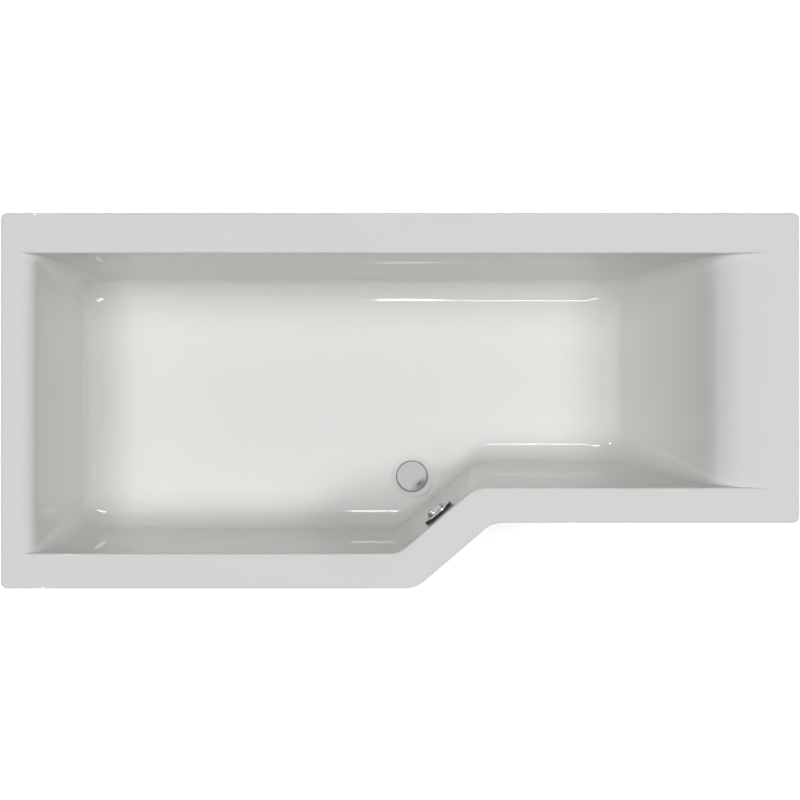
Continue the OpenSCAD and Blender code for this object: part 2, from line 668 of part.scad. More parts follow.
// Chromed cup over the insert, with a bearing for the knob and slots at its foot for water
slot_w = 9;
module overflow_rosette() color("silver") at_overflow() difference() {
    rotate_extrude($fn = 96) polygon([[shaft_r + run_gap, rosette_h - 2], [shaft_r + run_gap, rosette_h],
        [rosette_r - 2.5, rosette_h], [rosette_r - 0.7, rosette_h - 0.7], [rosette_r, rosette_h - 2.5],
        [rosette_r, seat], [rosette_r - 2, seat], [rosette_r - 2, rosette_h - 2]]);
    for (k = [-2:2]) rotate(180 + k * 24) translate([rosette_r - 5, -slot_w / 2, seat + 1.2])
        cube([10, slot_w, rosette_h - 6]);
}

// Knob with finger scallops, its shaft and the drum that winds the cable
module overflow_knob() color("silver") at_overflow() {
    difference() {
        translate([0, 0, rosette_h + seat]) rotate_extrude($fn = 96)
            polygon([[0, 0], [knob_r, 0], [knob_r, knob_h - 2.5], [knob_r - 0.7, knob_h - 0.8],
                [knob_r - 2.5, knob_h], [0, knob_h]]);
        for (a = [0:45:315]) rotate(a + 22.5) translate([knob_r + 5, 0, rosette_h + seat + 2])
            cylinder(r = 6.5, h = knob_h, $fn = 32);
    }
    translate([0, 0, drum_w]) cylinder(r = shaft_r, h = rosette_h + seat + 0.5 - drum_w);
}
drum_w = -20;
drum_r = 14;
module cable_drum() color("goldenrod") at_overflow() difference() {
    translate([0, 0, drum_w - 8]) rotate_extrude() polygon([[0, 0], [drum_r, 0], [drum_r, 1.5],
        [drum_r - 1.5, 3], [drum_r - 1.5, 5], [drum_r, 6.5], [drum_r, 8], [0, 8]]);
    rotate(90) translate([drum_r - 1.5, 0, drum_w - 9]) cylinder(r = 1.6, h = 10, $fn = 24);
}
module overflow_gasket() color("black") at_overflow() translate([0, 0, body_top])
    tube(body_flange_r - 1, overflow_hole_r + 0.5, gasket_t);

// Moulded elbow behind the wall, with its outlet down the wall and a boss for the cable
boss_v = 26;
boss_x = 34;
module overflow_body() color("dimgray") at_overflow() difference() {
    union() {
        translate([0, 0, body_top - 4]) cylinder(r = body_flange_r, h = 4);
        translate([0, 0, of_bottom]) rotate_extrude()
            polygon([[0, 0], [of_chamber_r - 4, 0], [of_chamber_r, 4], [of_chamber_r, of_chamber_l],
                [0, of_chamber_l]]);
        translate([0, 0, outlet_w]) rotate([0, -90, 0]) {
            cylinder(r = collar_r, h = of_collar_x);
            cylinder(r = spigot_r, h = of_collar_x + spigot_l);
        }
        translate([-boss_x, boss_v, outlet_w]) rotate([0, 90, 0])
            cylinder(r = gland_r, h = boss_x, $fn = 32);
    }
    translate([0, 0, of_bottom + 3]) cylinder(r = of_chamber_r - 3, h = body_top - of_bottom - 22);
    translate([0, 0, body_top - 20]) cylinder(r = insert_neck_r + run_gap, h = 21);
    translate([0, 0, outlet_w]) rotate([0, -90, 0])
        cylinder(r = spigot_bore_r, h = of_collar_x + spigot_l + 1);
    translate([-boss_x - 1, boss_v, outlet_w]) rotate([0, 90, 0]) {
        cylinder(r = cable_r + 0.4, h = 10, $fn = 32);
        cylinder(r = 1.4, h = boss_x, $fn = 24);
    }
}

// ---- Hose and cable ----

// Middle line of the hose in the upright plane through the waste and the overflow: down the
// wall, round a bend and along to the waste. Each point is [out, up, angle of travel]
hose_gap = 0.5;
function on_wall(x, w) = [overflow_u + x * sin(diag_draft) - w * cos(diag_draft),
    overflow_z + x * cos(diag_draft) + w * sin(diag_draft)];
hose_top = on_wall(-of_collar_x - hose_gap, outlet_w);
hose_drop = (hose_top[1] - inlet_z - hose_bend_r * (1 - sin(diag_draft))) / cos(diag_draft);
bend_u = hose_top[0] - hose_drop * sin(diag_draft) - hose_bend_r * cos(diag_draft);
bend_l = hose_bend_r * (90 - diag_draft) * PI / 180;
hose_end_u = collar_u + hose_gap;
hose_l = hose_drop + bend_l + bend_u - hose_end_u;
function hose_point(s) =
    s < hose_drop ? [hose_top[0] - s * sin(diag_draft), hose_top[1] - s * cos(diag_draft),
        270 - diag_draft] :
    s < hose_drop + bend_l ? let (a = diag_draft + (s - hose_drop) / hose_bend_r * 180 / PI)
        [bend_u + hose_bend_r * cos(a), inlet_z + hose_bend_r * (1 - sin(a)), 270 - a] :
    [bend_u - (s - hose_drop - bend_l), inlet_z, 180];
function hose_ring(s, r) = let (p = hose_point(s))
    [for (k = [0:7]) let (a = 45 * k + 22.5, m = r * cos(a) / cos(22.5))
        [p[0] - m * sin(p[2]), r * sin(a) / cos(22.5), p[1] + m * cos(p[2])]];
rib_n = floor(hose_l / rib_pitch);
rib_step = hose_l / rib_n;
bore_n = 24;

// Ribbed hose: a crest and a root for every rib outside, a smooth bore inside
module overflow_hose() color("gray") at_waste() {
    outside = concat([hose_ring(0, hose_root_r)],
        [for (k = [0:rib_n - 1], h = [0.5, 1])
            hose_ring((k + h) * rib_step, h < 1 ? hose_crest_r : hose_root_r)]);
    inside = [for (k = [bore_n:-1:0]) hose_ring(k * hose_l / bore_n, hose_bore_r)];
    rings = concat(outside, inside);
    n = 8;
    count = len(rings);
    polyhedron(points = [for (r = rings) each r],
        faces = [for (k = [0:count - 1], j = [0:n - 1]) let (
            a = k * n + j, b = k * n + (j + 1) % n,
            c = (k + 1) % count * n + j, d = (k + 1) % count * n + (j + 1) % n)
            each [[a, b, d], [a, d, c]]]);
}

// Union nuts over the two ends of the hose
module hose_nut() difference() {
    cylinder(r = hose_crest_r + 4.5, h = 16, $fn = 12);
    translate([0, 0, -1]) cylinder(r = hose_crest_r / cos(22.5) + 0.4, h = 18);
}
module hose_nut_top() color("dimgray") at_overflow()
    translate([-of_collar_x - seat, 0, outlet_w]) rotate([0, -90, 0]) hose_nut();
module hose_nut_bottom() color("dimgray") at_waste()
    translate([collar_u + seat, 0, inlet_z]) rotate([0, 90, 0]) hose_nut();

// Sleeved control cable from the boss on the overflow body to the gland on the waste body
cable_n = 26;
cable_p0 = let (p = on_wall(-boss_x + 8, outlet_w)) [p[0], boss_v, p[1]];
cable_p3 = [gland_u - 8, gland_v, gland_z];
cable_p1 = cable_p0 + 0.683 * (cable_p0[2] - cable_p3[2]) * [-sin(diag_draft), 0, -cos(diag_draft)];
cable_p2 = cable_p3 + [1.58 * (cable_p0[0] - cable_p3[0]), 0, 0];
// The cable runs beside the hose and only moves in to its gland once it is under it
function sway(f) = let (t = max(0, 2 * f - 1)) t * t * (3 - 2 * t);
function cable_point(f) = let (
    p = pow(1 - f, 3) * cable_p0 + 3 * f * pow(1 - f, 2) * cable_p1
        + 3 * f * f * (1 - f) * cable_p2 + pow(f, 3) * cable_p3)
    [p[0], boss_v + (gland_v - boss_v) * sway(f), p[2]];
function unit(v) = v / norm(v);
function cable_ring(f) = let (
    t = unit(cable_point(min(1, f + 0.01)) - cable_point(max(0, f - 0.01))),
    a = unit(cross(t, [0, 1, 0])), b = cross(t, a))
    [for (k = [0:7]) cable_point(f) + cable_r * (cos(45 * k) * a + sin(45 * k) * b)];
module control_cable() color("black") at_waste() skin([for (k = [0:cable_n]) cable_ring(k / cable_n)]);

bath_shell();
laminate();
baseboard();
rim_battens();
foot_end_rail();
head_end_rail();
mid_bracket();
base_screws();
stud_nuts();
wall_brackets();
bracket_screws();
foot_pad(0);  // foot_pad_1
foot_pad(1);  // foot_pad_2
foot_pad(2);  // foot_pad_3
foot_pad(3);  // foot_pad_4
foot_pad(4);  // foot_pad_5
foot_stud(0);  // foot_stud_1
foot_stud(1);  // foot_stud_2
foot_stud(2);  // foot_stud_3
foot_stud(3);  // foot_stud_4
foot_stud(4);  // foot_stud_5
waste_flange();
flange_seal();
waste_body();
body_seal();
plug_cap();
plug_seal();
plug_stem();
lift_lever();
lever_pin();
overflow_insert();
overflow_rosette();
overflow_knob();
cable_drum();
overflow_body();
overflow_gasket();
overflow_hose();
hose_nut_top();
hose_nut_bottom();
control_cable();
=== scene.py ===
# Looks of the P shaped shower bath, in metres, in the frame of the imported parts:
# +X from the showering end to the backrest, +Y towards the wall, +Z up, floor at zero.
import math

import bmesh
import bpy
import numpy as np
from mathutils import Matrix, Vector
from mathutils.bvhtree import BVHTree


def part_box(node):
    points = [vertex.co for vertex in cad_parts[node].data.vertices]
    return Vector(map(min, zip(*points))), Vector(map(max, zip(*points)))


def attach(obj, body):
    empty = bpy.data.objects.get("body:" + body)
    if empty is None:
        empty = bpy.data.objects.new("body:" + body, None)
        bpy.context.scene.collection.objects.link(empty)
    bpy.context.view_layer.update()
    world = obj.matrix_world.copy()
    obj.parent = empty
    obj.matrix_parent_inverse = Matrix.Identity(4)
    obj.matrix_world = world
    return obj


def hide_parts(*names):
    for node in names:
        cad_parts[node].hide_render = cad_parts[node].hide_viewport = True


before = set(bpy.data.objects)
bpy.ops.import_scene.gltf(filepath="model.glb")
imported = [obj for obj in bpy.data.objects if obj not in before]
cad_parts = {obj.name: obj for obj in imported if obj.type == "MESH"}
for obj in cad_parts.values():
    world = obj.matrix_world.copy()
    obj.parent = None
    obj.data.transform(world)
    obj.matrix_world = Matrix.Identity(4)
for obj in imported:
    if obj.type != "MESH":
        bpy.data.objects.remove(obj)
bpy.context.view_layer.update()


# ---- Camera ----
# The photograph looks straight down on the middle of the bath, from well above it, so the
# walls of the basin all lean outwards a little. The rim is its scale: 2.128 mm to a pixel.
RIM_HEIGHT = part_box("bath_shell")[1].z
CAMERA_ABOVE_RIM = 3.40
CAMERA_Y = 0.0016
MM_PER_PIXEL = 2.128
PICTURE_WIDTH = 800
SENSOR_MM = 36

camera_data = bpy.data.cameras.new("camera")
camera_data.sensor_width = SENSOR_MM
view_width = PICTURE_WIDTH * MM_PER_PIXEL / 1000
camera_data.lens = SENSOR_MM * CAMERA_ABOVE_RIM / view_width
camera_data.clip_end = 60
camera = bpy.data.objects.new("camera", camera_data)
camera.location = (0, CAMERA_Y, RIM_HEIGHT + CAMERA_ABOVE_RIM)
bpy.context.scene.collection.objects.link(camera)
bpy.context.scene.camera = camera
bpy.context.scene.view_settings.view_transform = "Standard"


# ---- Studio ----
# A plain white floor and sky. Two long banks hang high above the long sides, with a lamp over
# each end, and light the basin's floor more than its walls. Two strips and two spots only shine:
# their reflections run along the feet of the walls and dot the corners.
WHITE_FLOOR = "#F2F2F2"
SKY = "#FFFFFF"
SKY_LIGHT = 0.02
FLOOR_LIFT = 0.64
FLOOR_HALF = 15


def linear(hex_colour):
    """Scene colour of an sRGB hex value, with full alpha."""
    parts = [int(hex_colour[i:i + 2], 16) / 255 for i in (1, 3, 5)]
    return tuple(p / 12.92 if p <= 0.04045 else ((p + 0.055) / 1.055) ** 2.4 for p in parts) + (1,)


def set_stops(elements, stops):
    """Stops of a ramp, as (place, colour or grey)."""
    while len(elements) < len(stops):
        elements.new(0.5)
    for element, (at, colour) in zip(elements, stops):
        element.position = at
        element.color = linear(colour) if isinstance(colour, str) else (colour, colour, colour, 1)


def add_node(tree, kind, inputs=None, **settings):
    """Adds a node with its settings. Inputs are values or other nodes' sockets, by name or number."""
    new = tree.nodes.new("ShaderNode" + kind)
    for name, value in settings.items():
        if name == "stops":
            set_stops(new.color_ramp.elements, value)
        else:
            setattr(new, name, value)
    for name, value in (inputs or {}).items():
        if isinstance(value, bpy.types.NodeSocket):
            tree.links.new(value, new.inputs[name])
        else:
            new.inputs[name].default_value = value
    return new


def seen_by_camera_or_gloss(tree):
    """One for rays from the camera and through gloss or glass, and zero for those that light."""
    path = add_node(tree, "LightPath")
    either = add_node(tree, "Math", {0: path.outputs["Is Camera Ray"], 1: path.outputs["Is Glossy Ray"]},
                      operation="MAXIMUM")
    return add_node(tree, "Math", {0: either.outputs[0], 1: path.outputs["Is Transmission Ray"]},
                    operation="MAXIMUM").outputs[0]


world = bpy.data.worlds.new("sky")
bpy.context.scene.world = world
world.use_nodes = True
world.node_tree.nodes.clear()
sky_strength = add_node(world.node_tree, "MapRange",
                        {"Value": seen_by_camera_or_gloss(world.node_tree), "To Min": SKY_LIGHT,
                         "To Max": 1.0})
sky = add_node(world.node_tree, "Background", {"Color": linear(SKY), "Strength": sky_strength.outputs[0]})
add_node(world.node_tree, "OutputWorld", {"Surface": sky.outputs[0]})

floor_mesh = bpy.data.meshes.new("studio_floor")
floor_corners = [(x * FLOOR_HALF, y * FLOOR_HALF, 0) for x, y in ((-1, -1), (1, -1), (1, 1), (-1, 1))]
floor_mesh.from_pydata(floor_corners, [], [(0, 1, 2, 3)])
studio_floor = bpy.data.objects.new("studio_floor", floor_mesh)
bpy.context.scene.collection.objects.link(studio_floor)
floor_paint = bpy.data.materials.new("white_studio_floor")
floor_paint.use_nodes = True
tree = floor_paint.node_tree
tree.nodes.clear()
matt = add_node(tree, "BsdfDiffuse", {"Color": linear(WHITE_FLOOR)})
lift_strength = add_node(tree, "Math", {0: seen_by_camera_or_gloss(tree), 1: FLOOR_LIFT},
                         operation="MULTIPLY")
lift = add_node(tree, "Emission", {"Color": linear(WHITE_FLOOR), "Strength": lift_strength.outputs[0]})
both = add_node(tree, "AddShader", {0: matt.outputs[0], 1: lift.outputs[0]})
add_node(tree, "OutputMaterial", {"Surface": both.outputs[0]})
floor_mesh.materials.append(floor_paint)


def soft_box(name, place, aim, width, height, watts, shines=False):
    """A rectangular lamp at a place, turned to a point, and not itself in the picture.
    One that shines shows in gloss and lights nothing, and any other only lights."""
    lamp = bpy.data.lights.new(name, "AREA")
    lamp.shape = "RECTANGLE"
    lamp.size = width
    lamp.size_y = height
    lamp.energy = watts
    hung = bpy.data.objects.new(name, lamp)
    hung.location = place
    hung.rotation_euler = (Vector(aim) - Vector(place)).to_track_quat("-Z", "Y").to_euler()
    hung.visible_camera = False
    hung.visible_glossy = shines
    hung.visible_diffuse = not shines
    bpy.context.scene.collection.objects.link(hung)


soft_box("front_bank", (0, -2.20, 10), (0, -0.1, 0.4), 12, 1.66, 262)
soft_box("wall_bank", (0, 3.11, 10), (0, 0.1, 0.4), 12, 1.54, 188)
soft_box("head_end_lamp", (6, 0, 8.4), (0, 0, 0.4), 2, 2, 260)
soft_box("foot_end_lamp", (-3.2, 0, 9.1), (0, 0, 0.4), 2, 2, 220)
soft_box("front_strip", (0.36, -2.10, 2.30), (0.20, 0.29, 0.17), 0.93, 0.40, 14, shines=True)
soft_box("wall_strip", (0.30, 2.10, 2.30), (0.20, -0.29, 0.17), 1.05, 0.40, 15, shines=True)
soft_box("front_spot", (-1.30, -2.10, 2.30), (-0.7, 0.29, 0.17), 0.08, 0.16, 4, shines=True)
soft_box("wall_spot", (-1.30, 2.10, 2.30), (-0.7, -0.29, 0.17), 0.08, 0.16, 4, shines=True)


# ---- Bath shell ----
# One sheet of white acrylic, 5 mm thick, vacuum formed: a flat rim with a turned down lip and
# a basin whose six sides each have their own slope and sweep into the floor. The mould leaves
# every edge rounded and the sheet keeps its high gloss.
BATH_LENGTH = 1.700
WIDE_END = 0.800
NARROW_END = 0.660
WIDE_LENGTH = 0.884
DIAGONAL = 40.7
BASIN_DEPTH = 0.410
SHEET = 0.005
LIP_DROP = 0.030
LIP_EDGE = 0.004
RIM_CORNER = 0.013
RIM_BEND = 0.058
BASIN_CORNER_TOP = 0.007
BASIN_CORNER_FLOOR = 0.060
BASIN_BEND = 0.057
ARC_STEPS = 16
BASIN_STEPS = 110
FRONT, SLANT, NARROW, HEAD, WALL, FOOT = range(6)
EDGE_ANGLES = [0, DIAGONAL, 0, 90, 180, 270]
RIM_WIDTHS = [0.070, 0.076, 0.070, 0.037, 0.081, 0.030]


def sine(degrees):
    return math.sin(math.radians(degrees))


def cosine(degrees):
    return math.cos(math.radians(degrees))


def plain_side(roll, draft, fillet):
    """Roll over the edge, then a straight wall, then a fillet to the floor."""
    return (0, 0, roll, 90 - draft, 0, 90 - draft, fillet)


# The backrest starts with a slow roll and is hollowed where the small of the back rests
SIDES = [plain_side(0.005, 4.2, 0.066), plain_side(0.005, 3, 0.040), plain_side(0.005, 7, 0.064),
         (0.300, 15, 0.110, 68.5, 0.900, 60, 0.066),
         plain_side(0.005, 5, 0.080), plain_side(0.042, 4.5, 0.044)]

wall_y = WIDE_END / 2
slant_x = -BATH_LENGTH / 2 + WIDE_LENGTH
slant_run = (WIDE_END - NARROW_END) / math.tan(math.radians(DIAGONAL))
OUTLINE = [np.array(p) for p in (
    (-BATH_LENGTH / 2, -wall_y), (slant_x, -wall_y), (slant_x + slant_run, wall_y - NARROW_END),
    (BATH_LENGTH / 2, wall_y - NARROW_END), (BATH_LENGTH / 2, wall_y), (-BATH_LENGTH / 2, wall_y))]


def root(value):
    return math.sqrt(max(0, value))


def side_run(side, depth, back=0.0):
    """How far a side has come in at a depth, for a skin that lies back behind its surface."""
    lead_r, lead_a, roll_r, slope, hollow_r, low_slope, fillet_r = side
    d1 = lead_r * (1 - cosine(lead_a))
    x1 = lead_r * sine(lead_a)
    d2 = d1 + roll_r * (cosine(lead_a) - cosine(slope))
    x2 = x1 + roll_r * (sine(slope) - sine(lead_a))
    d4 = BASIN_DEPTH - fillet_r * (1 - cosine(low_slope))
    d3 = d4 - hollow_r * (cosine(low_slope) - cosine(slope))
    x3 = x2 + (d3 - d2) / math.tan(math.radians(slope))
    x4 = x3 + hollow_r * (sine(slope) - sine(low_slope))
    x5 = x4 + fillet_r * sine(low_slope)
    if depth < d1 + back * cosine(lead_a):
        return root((lead_r - back) ** 2 - (lead_r - depth) ** 2)
    if depth < d2 + back * cosine(slope):
        drop = d1 + roll_r * cosine(lead_a) - depth
        return x1 - roll_r * sine(lead_a) + root((roll_r - back) ** 2 - drop ** 2)
    if depth <= d3 + back * cosine(slope):
        return x2 - back * sine(slope) + (depth - d2 - back * cosine(slope)) / math.tan(math.radians(slope))
    if depth < d4 + back * cosine(low_slope):
        drop = depth - d3 + hollow_r * cosine(slope)
        return x3 + hollow_r * sine(slope) - root((hollow_r + back) ** 2 - drop ** 2)
    return x5 - root((fillet_r + back) ** 2 - (depth - BASIN_DEPTH + fillet_r) ** 2)


def along(i):
    return np.array((cosine(EDGE_ANGLES[i]), sine(EDGE_ANGLES[i])))


def inward(i):
    return np.array((-sine(EDGE_ANGLES[i]), cosine(EDGE_ANGLES[i])))


def cross(a, b):
    return a[0] * b[1] - a[1] * b[0]


def corner_point(moved_in, i):
    """Corner i of the outline, with each of its edges moved in by its own distance."""
    before = i - 1
    p = OUTLINE[i] + inward(before) * moved_in[before]
    q = OUTLINE[i] + inward(i) * moved_in[i]
    return p + along(before) * cross(q - p, along(i)) / cross(along(before), along(i))


def bath_ring(moved_in, corner_radii, z):
    """Level ring round the bath, its six corners rounded."""
    points = []
    for i in range(6):
        before = i - 1
        turn = (EDGE_ANGLES[i] - EDGE_ANGLES[before] + 540) % 360 - 180
        side = math.copysign(1, turn)
        half_tan = math.tan(math.radians(abs(turn) / 2))
        start = corner_point(moved_in, i) - along(before) * corner_radii[i] * half_tan
        centre = start + inward(before) * corner_radii[i] * side
        spoke = -side * corner_radii[i] * inward(before)
        for j in range(ARC_STEPS):
            c, s = cosine(turn * j / (ARC_STEPS - 1)), sine(turn * j / (ARC_STEPS - 1))
            points.append((centre[0] + spoke[0] * c - spoke[1] * s,
                           centre[1] + spoke[0] * s + spoke[1] * c, z))
    return points


def basin_ring(depth, back=0.0):
    level = max(0, depth - back)
    q = BASIN_CORNER_TOP + (BASIN_CORNER_FLOOR - BASIN_CORNER_TOP) * sine(90 * level / BASIN_DEPTH) + back
    hip = BASIN_BEND + 0.8 * side_run(SIDES[SLANT], level) - back
    moved_in = [w + side_run(s, depth, back) for w, s in zip(RIM_WIDTHS, SIDES)]
    return bath_ring(moved_in, [q, BASIN_BEND + back, hip, q, q, q], RIM_HEIGHT - depth)


def basin_rings(back, steps):
    """Rings of a skin of the basin from the rim down, closest where it curves."""
    return [basin_ring(back + BASIN_DEPTH * (1 - cosine(180 * k / steps)) / 2, back)
            for k in range(steps + 1)]


def rim_ring(inside, depth):
    q = RIM_CORNER - inside
    return bath_ring([inside] * 6, [q, RIM_BEND - inside, RIM_BEND + inside, q, q, q], RIM_HEIGHT - depth)


def loft(name, rings, capped=True, closed=False):
    """Mesh through rings of equally many points, its ends capped or the last joined to the first."""
    n = len(rings[0])
    faces = []
    for k in range(len(rings) if closed else len(rings) - 1):
        upper, lower = k * n, (k + 1) % len(rings) * n
        faces += [(upper + j, lower + j, lower + (j + 1) % n, upper + (j + 1) % n) for j in range(n)]
    if capped and not closed:
        faces += [tuple(range(n)), tuple((len(rings) - 1) * n + j for j in reversed(range(n)))]
    mesh = bpy.data.meshes.new(name)
    mesh.from_pydata([p for ring in rings for p in ring], [], faces)
    form = bmesh.new()
    form.from_mesh(mesh)
    bmesh.ops.remove_doubles(form, verts=form.verts, dist=1e-7)
    bmesh.ops.triangulate(form, faces=[f for f in form.faces if len(f.verts) > 4])
    bmesh.ops.recalc_face_normals(form, faces=form.faces)
    form.to_mesh(mesh)
    form.free()
    return mesh


def show(name, mesh, smooth_angle=35):
    """Puts a mesh in the scene as a piece, smooth but for its edges."""
    mesh.shade_smooth()
    mesh.set_sharp_from_angle(angle=math.radians(smooth_angle))
    piece = bpy.data.objects.new(name, mesh)
    bpy.context.scene.collection.objects.link(piece)
    return piece


def cut(piece, cutter_mesh):
    """Takes a cutter's volume out of a piece."""
    cutter = bpy.data.objects.new("cutter", cutter_mesh)
    bpy.context.scene.collection.objects.link(cutter)
    tool = piece.modifiers.new("cut", "BOOLEAN")
    tool.operation = "DIFFERENCE"
    tool.solver = "EXACT"
    tool.object = cutter
    result = bpy.data.meshes.new_from_object(piece.evaluated_get(bpy.context.evaluated_depsgraph_get()))
    piece.modifiers.clear()
    bpy.data.objects.remove(cutter)
    old = piece.data
    piece.data = result
    bpy.data.meshes.remove(old)


def prism(name, radius, low, high, sides, place):
    """Round cutter that stands upright in the frame of a place."""
    rings = [[(radius * cosine(360 * j / sides), radius * sine(360 * j / sides), z) for j in range(sides)]
             for z in (high, low)]
    mesh = loft(name, rings)
    mesh.transform(place)
    return mesh


def frame_at(origin, x_axis, z_axis):
    """Matrix of a place, from its origin and two of its axes."""
    x = Vector(x_axis).normalized()
    z = Vector(z_axis).normalized()
    y = z.cross(x)
    return Matrix(((x.x, y.x, z.x, origin[0]), (x.y, y.y, z.y, origin[1]),
                   (x.z, y.z, z.z, origin[2]), (0, 0, 0, 1)))


# The waste's place, with X towards the diagonal wall, and the overflow's on that wall
WASTE_IN = 0.094
WASTE_ALONG = 0.120
OVERFLOW_DROP = 0.062
slant_corner = corner_point(RIM_WIDTHS, SLANT)
waste_xy = slant_corner + along(SLANT) * WASTE_ALONG + inward(SLANT) * WASTE_IN
outward = -inward(SLANT)
at_waste = frame_at((*waste_xy, 0), (*outward, 0), (0, 0, 1))
overflow_out = WASTE_IN - side_run(SIDES[SLANT], OVERFLOW_DROP)
overflow_xy = waste_xy + outward * overflow_out
slant_draft = 90 - SIDES[SLANT][3]
up_wall = (*(outward * sine(slant_draft)), cosine(slant_draft))
off_wall = (*(-outward * cosine(slant_draft)), sine(slant_draft))
at_overflow = frame_at((*overflow_xy, RIM_HEIGHT - OVERFLOW_DROP), up_wall, off_wall)

basin = basin_rings(0, BASIN_STEPS)
outer_edge = [rim_ring(LIP_EDGE * (1 - sine(w)), LIP_EDGE * (1 - cosine(w))) for w in range(0, 91, 15)]
lip = [rim_ring(0.0, LIP_DROP - 0.001), rim_ring(0.001, LIP_DROP), rim_ring(SHEET - 0.001, LIP_DROP),
       rim_ring(SHEET, LIP_DROP - 0.001), rim_ring(SHEET, SHEET)]
shell_mesh = loft("bath_shell_formed", basin[::-1] + outer_edge + lip + basin_rings(SHEET, 36))
bath_shell = show("bath_shell_formed", shell_mesh)

# The dished seat round the waste is a patch of its own, so that it can melt into the floor
# and the foot of the diagonal wall as a formed sheet does
WASTE_HOLE = 0.026
SEAT_DEPTH = 0.003
SEAT_FLAT = 0.040
SEAT_RISE = 0.010
SEAT_SHOULDER = 1.9
SEAT_BLEND = 0.0012
OVERFLOW_HOLE = 0.026
PATCH = 0.063
PATCH_SIDES = 128
WELD = 2e-5
floor_z = RIM_HEIGHT - BASIN_DEPTH
basin_mesh = loft("basin_probe", basin)
basin_probe = BVHTree.FromPolygons([v.co for v in basin_mesh.vertices],
                                   [p.vertices for p in basin_mesh.polygons])


def seat_height(radius, floor_here):
    """Height of the sheet at a distance from the waste, the seat melted into what is there."""
    seat = floor_z - SEAT_DEPTH
    if radius > SEAT_FLAT:
        seat += (radius - SEAT_FLAT) * SEAT_DEPTH / SEAT_RISE
    if radius > SEAT_FLAT + SEAT_RISE:
        seat += (radius - SEAT_FLAT - SEAT_RISE) * SEAT_SHOULDER
    share = max(0, min(1, 0.5 + (floor_here - seat) / (2 * SEAT_BLEND)))
    return floor_here * (1 - share) + seat * share - SEAT_BLEND * share * (1 - share)


def patch_ring(radius, thickness=0.0):
    ring = []
    for j in range(PATCH_SIDES):
        w = math.radians(360 * j / PATCH_SIDES)
        spot = at_waste @ Vector((radius * math.cos(w), radius * math.sin(w), 0))
        hit = basin_probe.ray_cast((spot.x, spot.y, floor_z + 0.2), (0, 0, -1))[0]
        top = hit.z if radius >= PATCH - 1e-6 else seat_height(radius, hit.z)
        ring.append((spot.x, spot.y, top - thickness))
    return ring


cut(bath_shell, prism("waste_cutter", PATCH, floor_z - 0.03, floor_z + 0.07, PATCH_SIDES, at_waste))
cut(bath_shell, prism("overflow_cutter", OVERFLOW_HOLE, -0.012, 0.008, 96, at_overflow))
patch_radii = np.concatenate([[WASTE_HOLE, WASTE_HOLE + 0.0004], np.linspace(0.028, SEAT_FLAT, 6),
                              np.linspace(SEAT_FLAT + 0.001, PATCH, 30)])
top_rings = [patch_ring(r) for r in patch_radii[::-1]]
under_rings = [patch_ring(r, SHEET) for r in patch_radii]
patch_mesh = loft("waste_patch", top_rings + under_rings, capped=False)
form = bmesh.new()
form.from_mesh(bath_shell.data)
hole_wall = [f for f in form.faces if all(
    abs((at_waste.inverted() @ v.co).xy.length - PATCH) < WELD and v.co.z < floor_z + 0.05 for v in f.verts)
    and abs(f.normal.z) < 0.2]
bmesh.ops.delete(form, geom=hole_wall, context="FACES")
form.from_mesh(patch_mesh)
bmesh.ops.remove_doubles(form, verts=form.verts, dist=WELD)
bmesh.ops.recalc_face_normals(form, faces=form.faces)
form.to_mesh(bath_shell.data)
form.free()
bath_shell.data.shade_smooth()
bath_shell.data.set_sharp_from_angle(angle=math.radians(35))
even = bath_shell.modifiers.new("even_shading", "WEIGHTED_NORMAL")
even.keep_sharp = True


def new_material(name):
    """An empty node material, the tree to build it in, and places in the object's own metres."""
    material = bpy.data.materials.new(name)
    material.use_nodes = True
    tree = material.node_tree
    tree.nodes.clear()
    return material, tree, add_node(tree, "TexCoord").outputs["Object"]


def finished(material, inputs):
    """The material, closed by a surface with these inputs."""
    shader = add_node(material.node_tree, "BsdfPrincipled", inputs)
    add_node(material.node_tree, "OutputMaterial", {"Surface": shader.outputs[0]})
    return material


def per_mm(size_mm):
    """Texture scale, in cells to the metre, for a pattern of that size."""
    return 1000 / size_mm


def gloss_acrylic():
    """Sanitary acrylic, cast white and thermoformed: high gloss over a faint orange peel, with
    a colour that is only just not even. Its index is 1.49."""
    white, shade = "#E4E4E2", "#E1E1DF"
    peel_mm, cloud_mm = 7, 260
    material, tree, place = new_material("sanitary_acrylic_gloss_white")
    cloud = add_node(tree, "TexNoise", {"Vector": place, "Scale": per_mm(cloud_mm), "Detail": 2})
    colour = add_node(tree, "MixRGB",
                      {"Fac": cloud.outputs["Fac"], "Color1": linear(white), "Color2": linear(shade)})
    sheen = add_node(tree, "MapRange", {"Value": cloud.outputs["Fac"], "To Min": 0.03, "To Max": 0.06})
    peel = add_node(tree, "TexNoise", {"Vector": place, "Scale": per_mm(peel_mm), "Detail": 1})
    bump = add_node(tree, "Bump", {"Height": peel.outputs["Fac"], "Strength": 0.12, "Distance": 0.00008})
    return finished(material, {"Base Color": colour.outputs[0], "Roughness": sheen.outputs[0], "IOR": 1.49,
                               "Normal": bump.outputs[0]})


bath_shell.data.materials.clear()
bath_shell.data.materials.append(gloss_acrylic())
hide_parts("bath_shell")
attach(bath_shell, "bath")


# ---- Backing ----
# Glass fibre and polyester resin, sprayed on the back of the sheet with a chopper gun and
# rolled down by hand. It is trimmed round the rim and left off where the fittings clamp.
BOND = 0.0003
LAMINATE = 0.003
LAMINATE_IN = 0.010
WASTE_CLEAR = 0.060
OVERFLOW_CLEAR = 0.042
near_side = SHEET + BOND
far_side = near_side + LAMINATE


def coat(material, *nodes):
    """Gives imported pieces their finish."""
    for name in nodes:
        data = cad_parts[name].data
        data.materials.clear()
        data.materials.append(material)


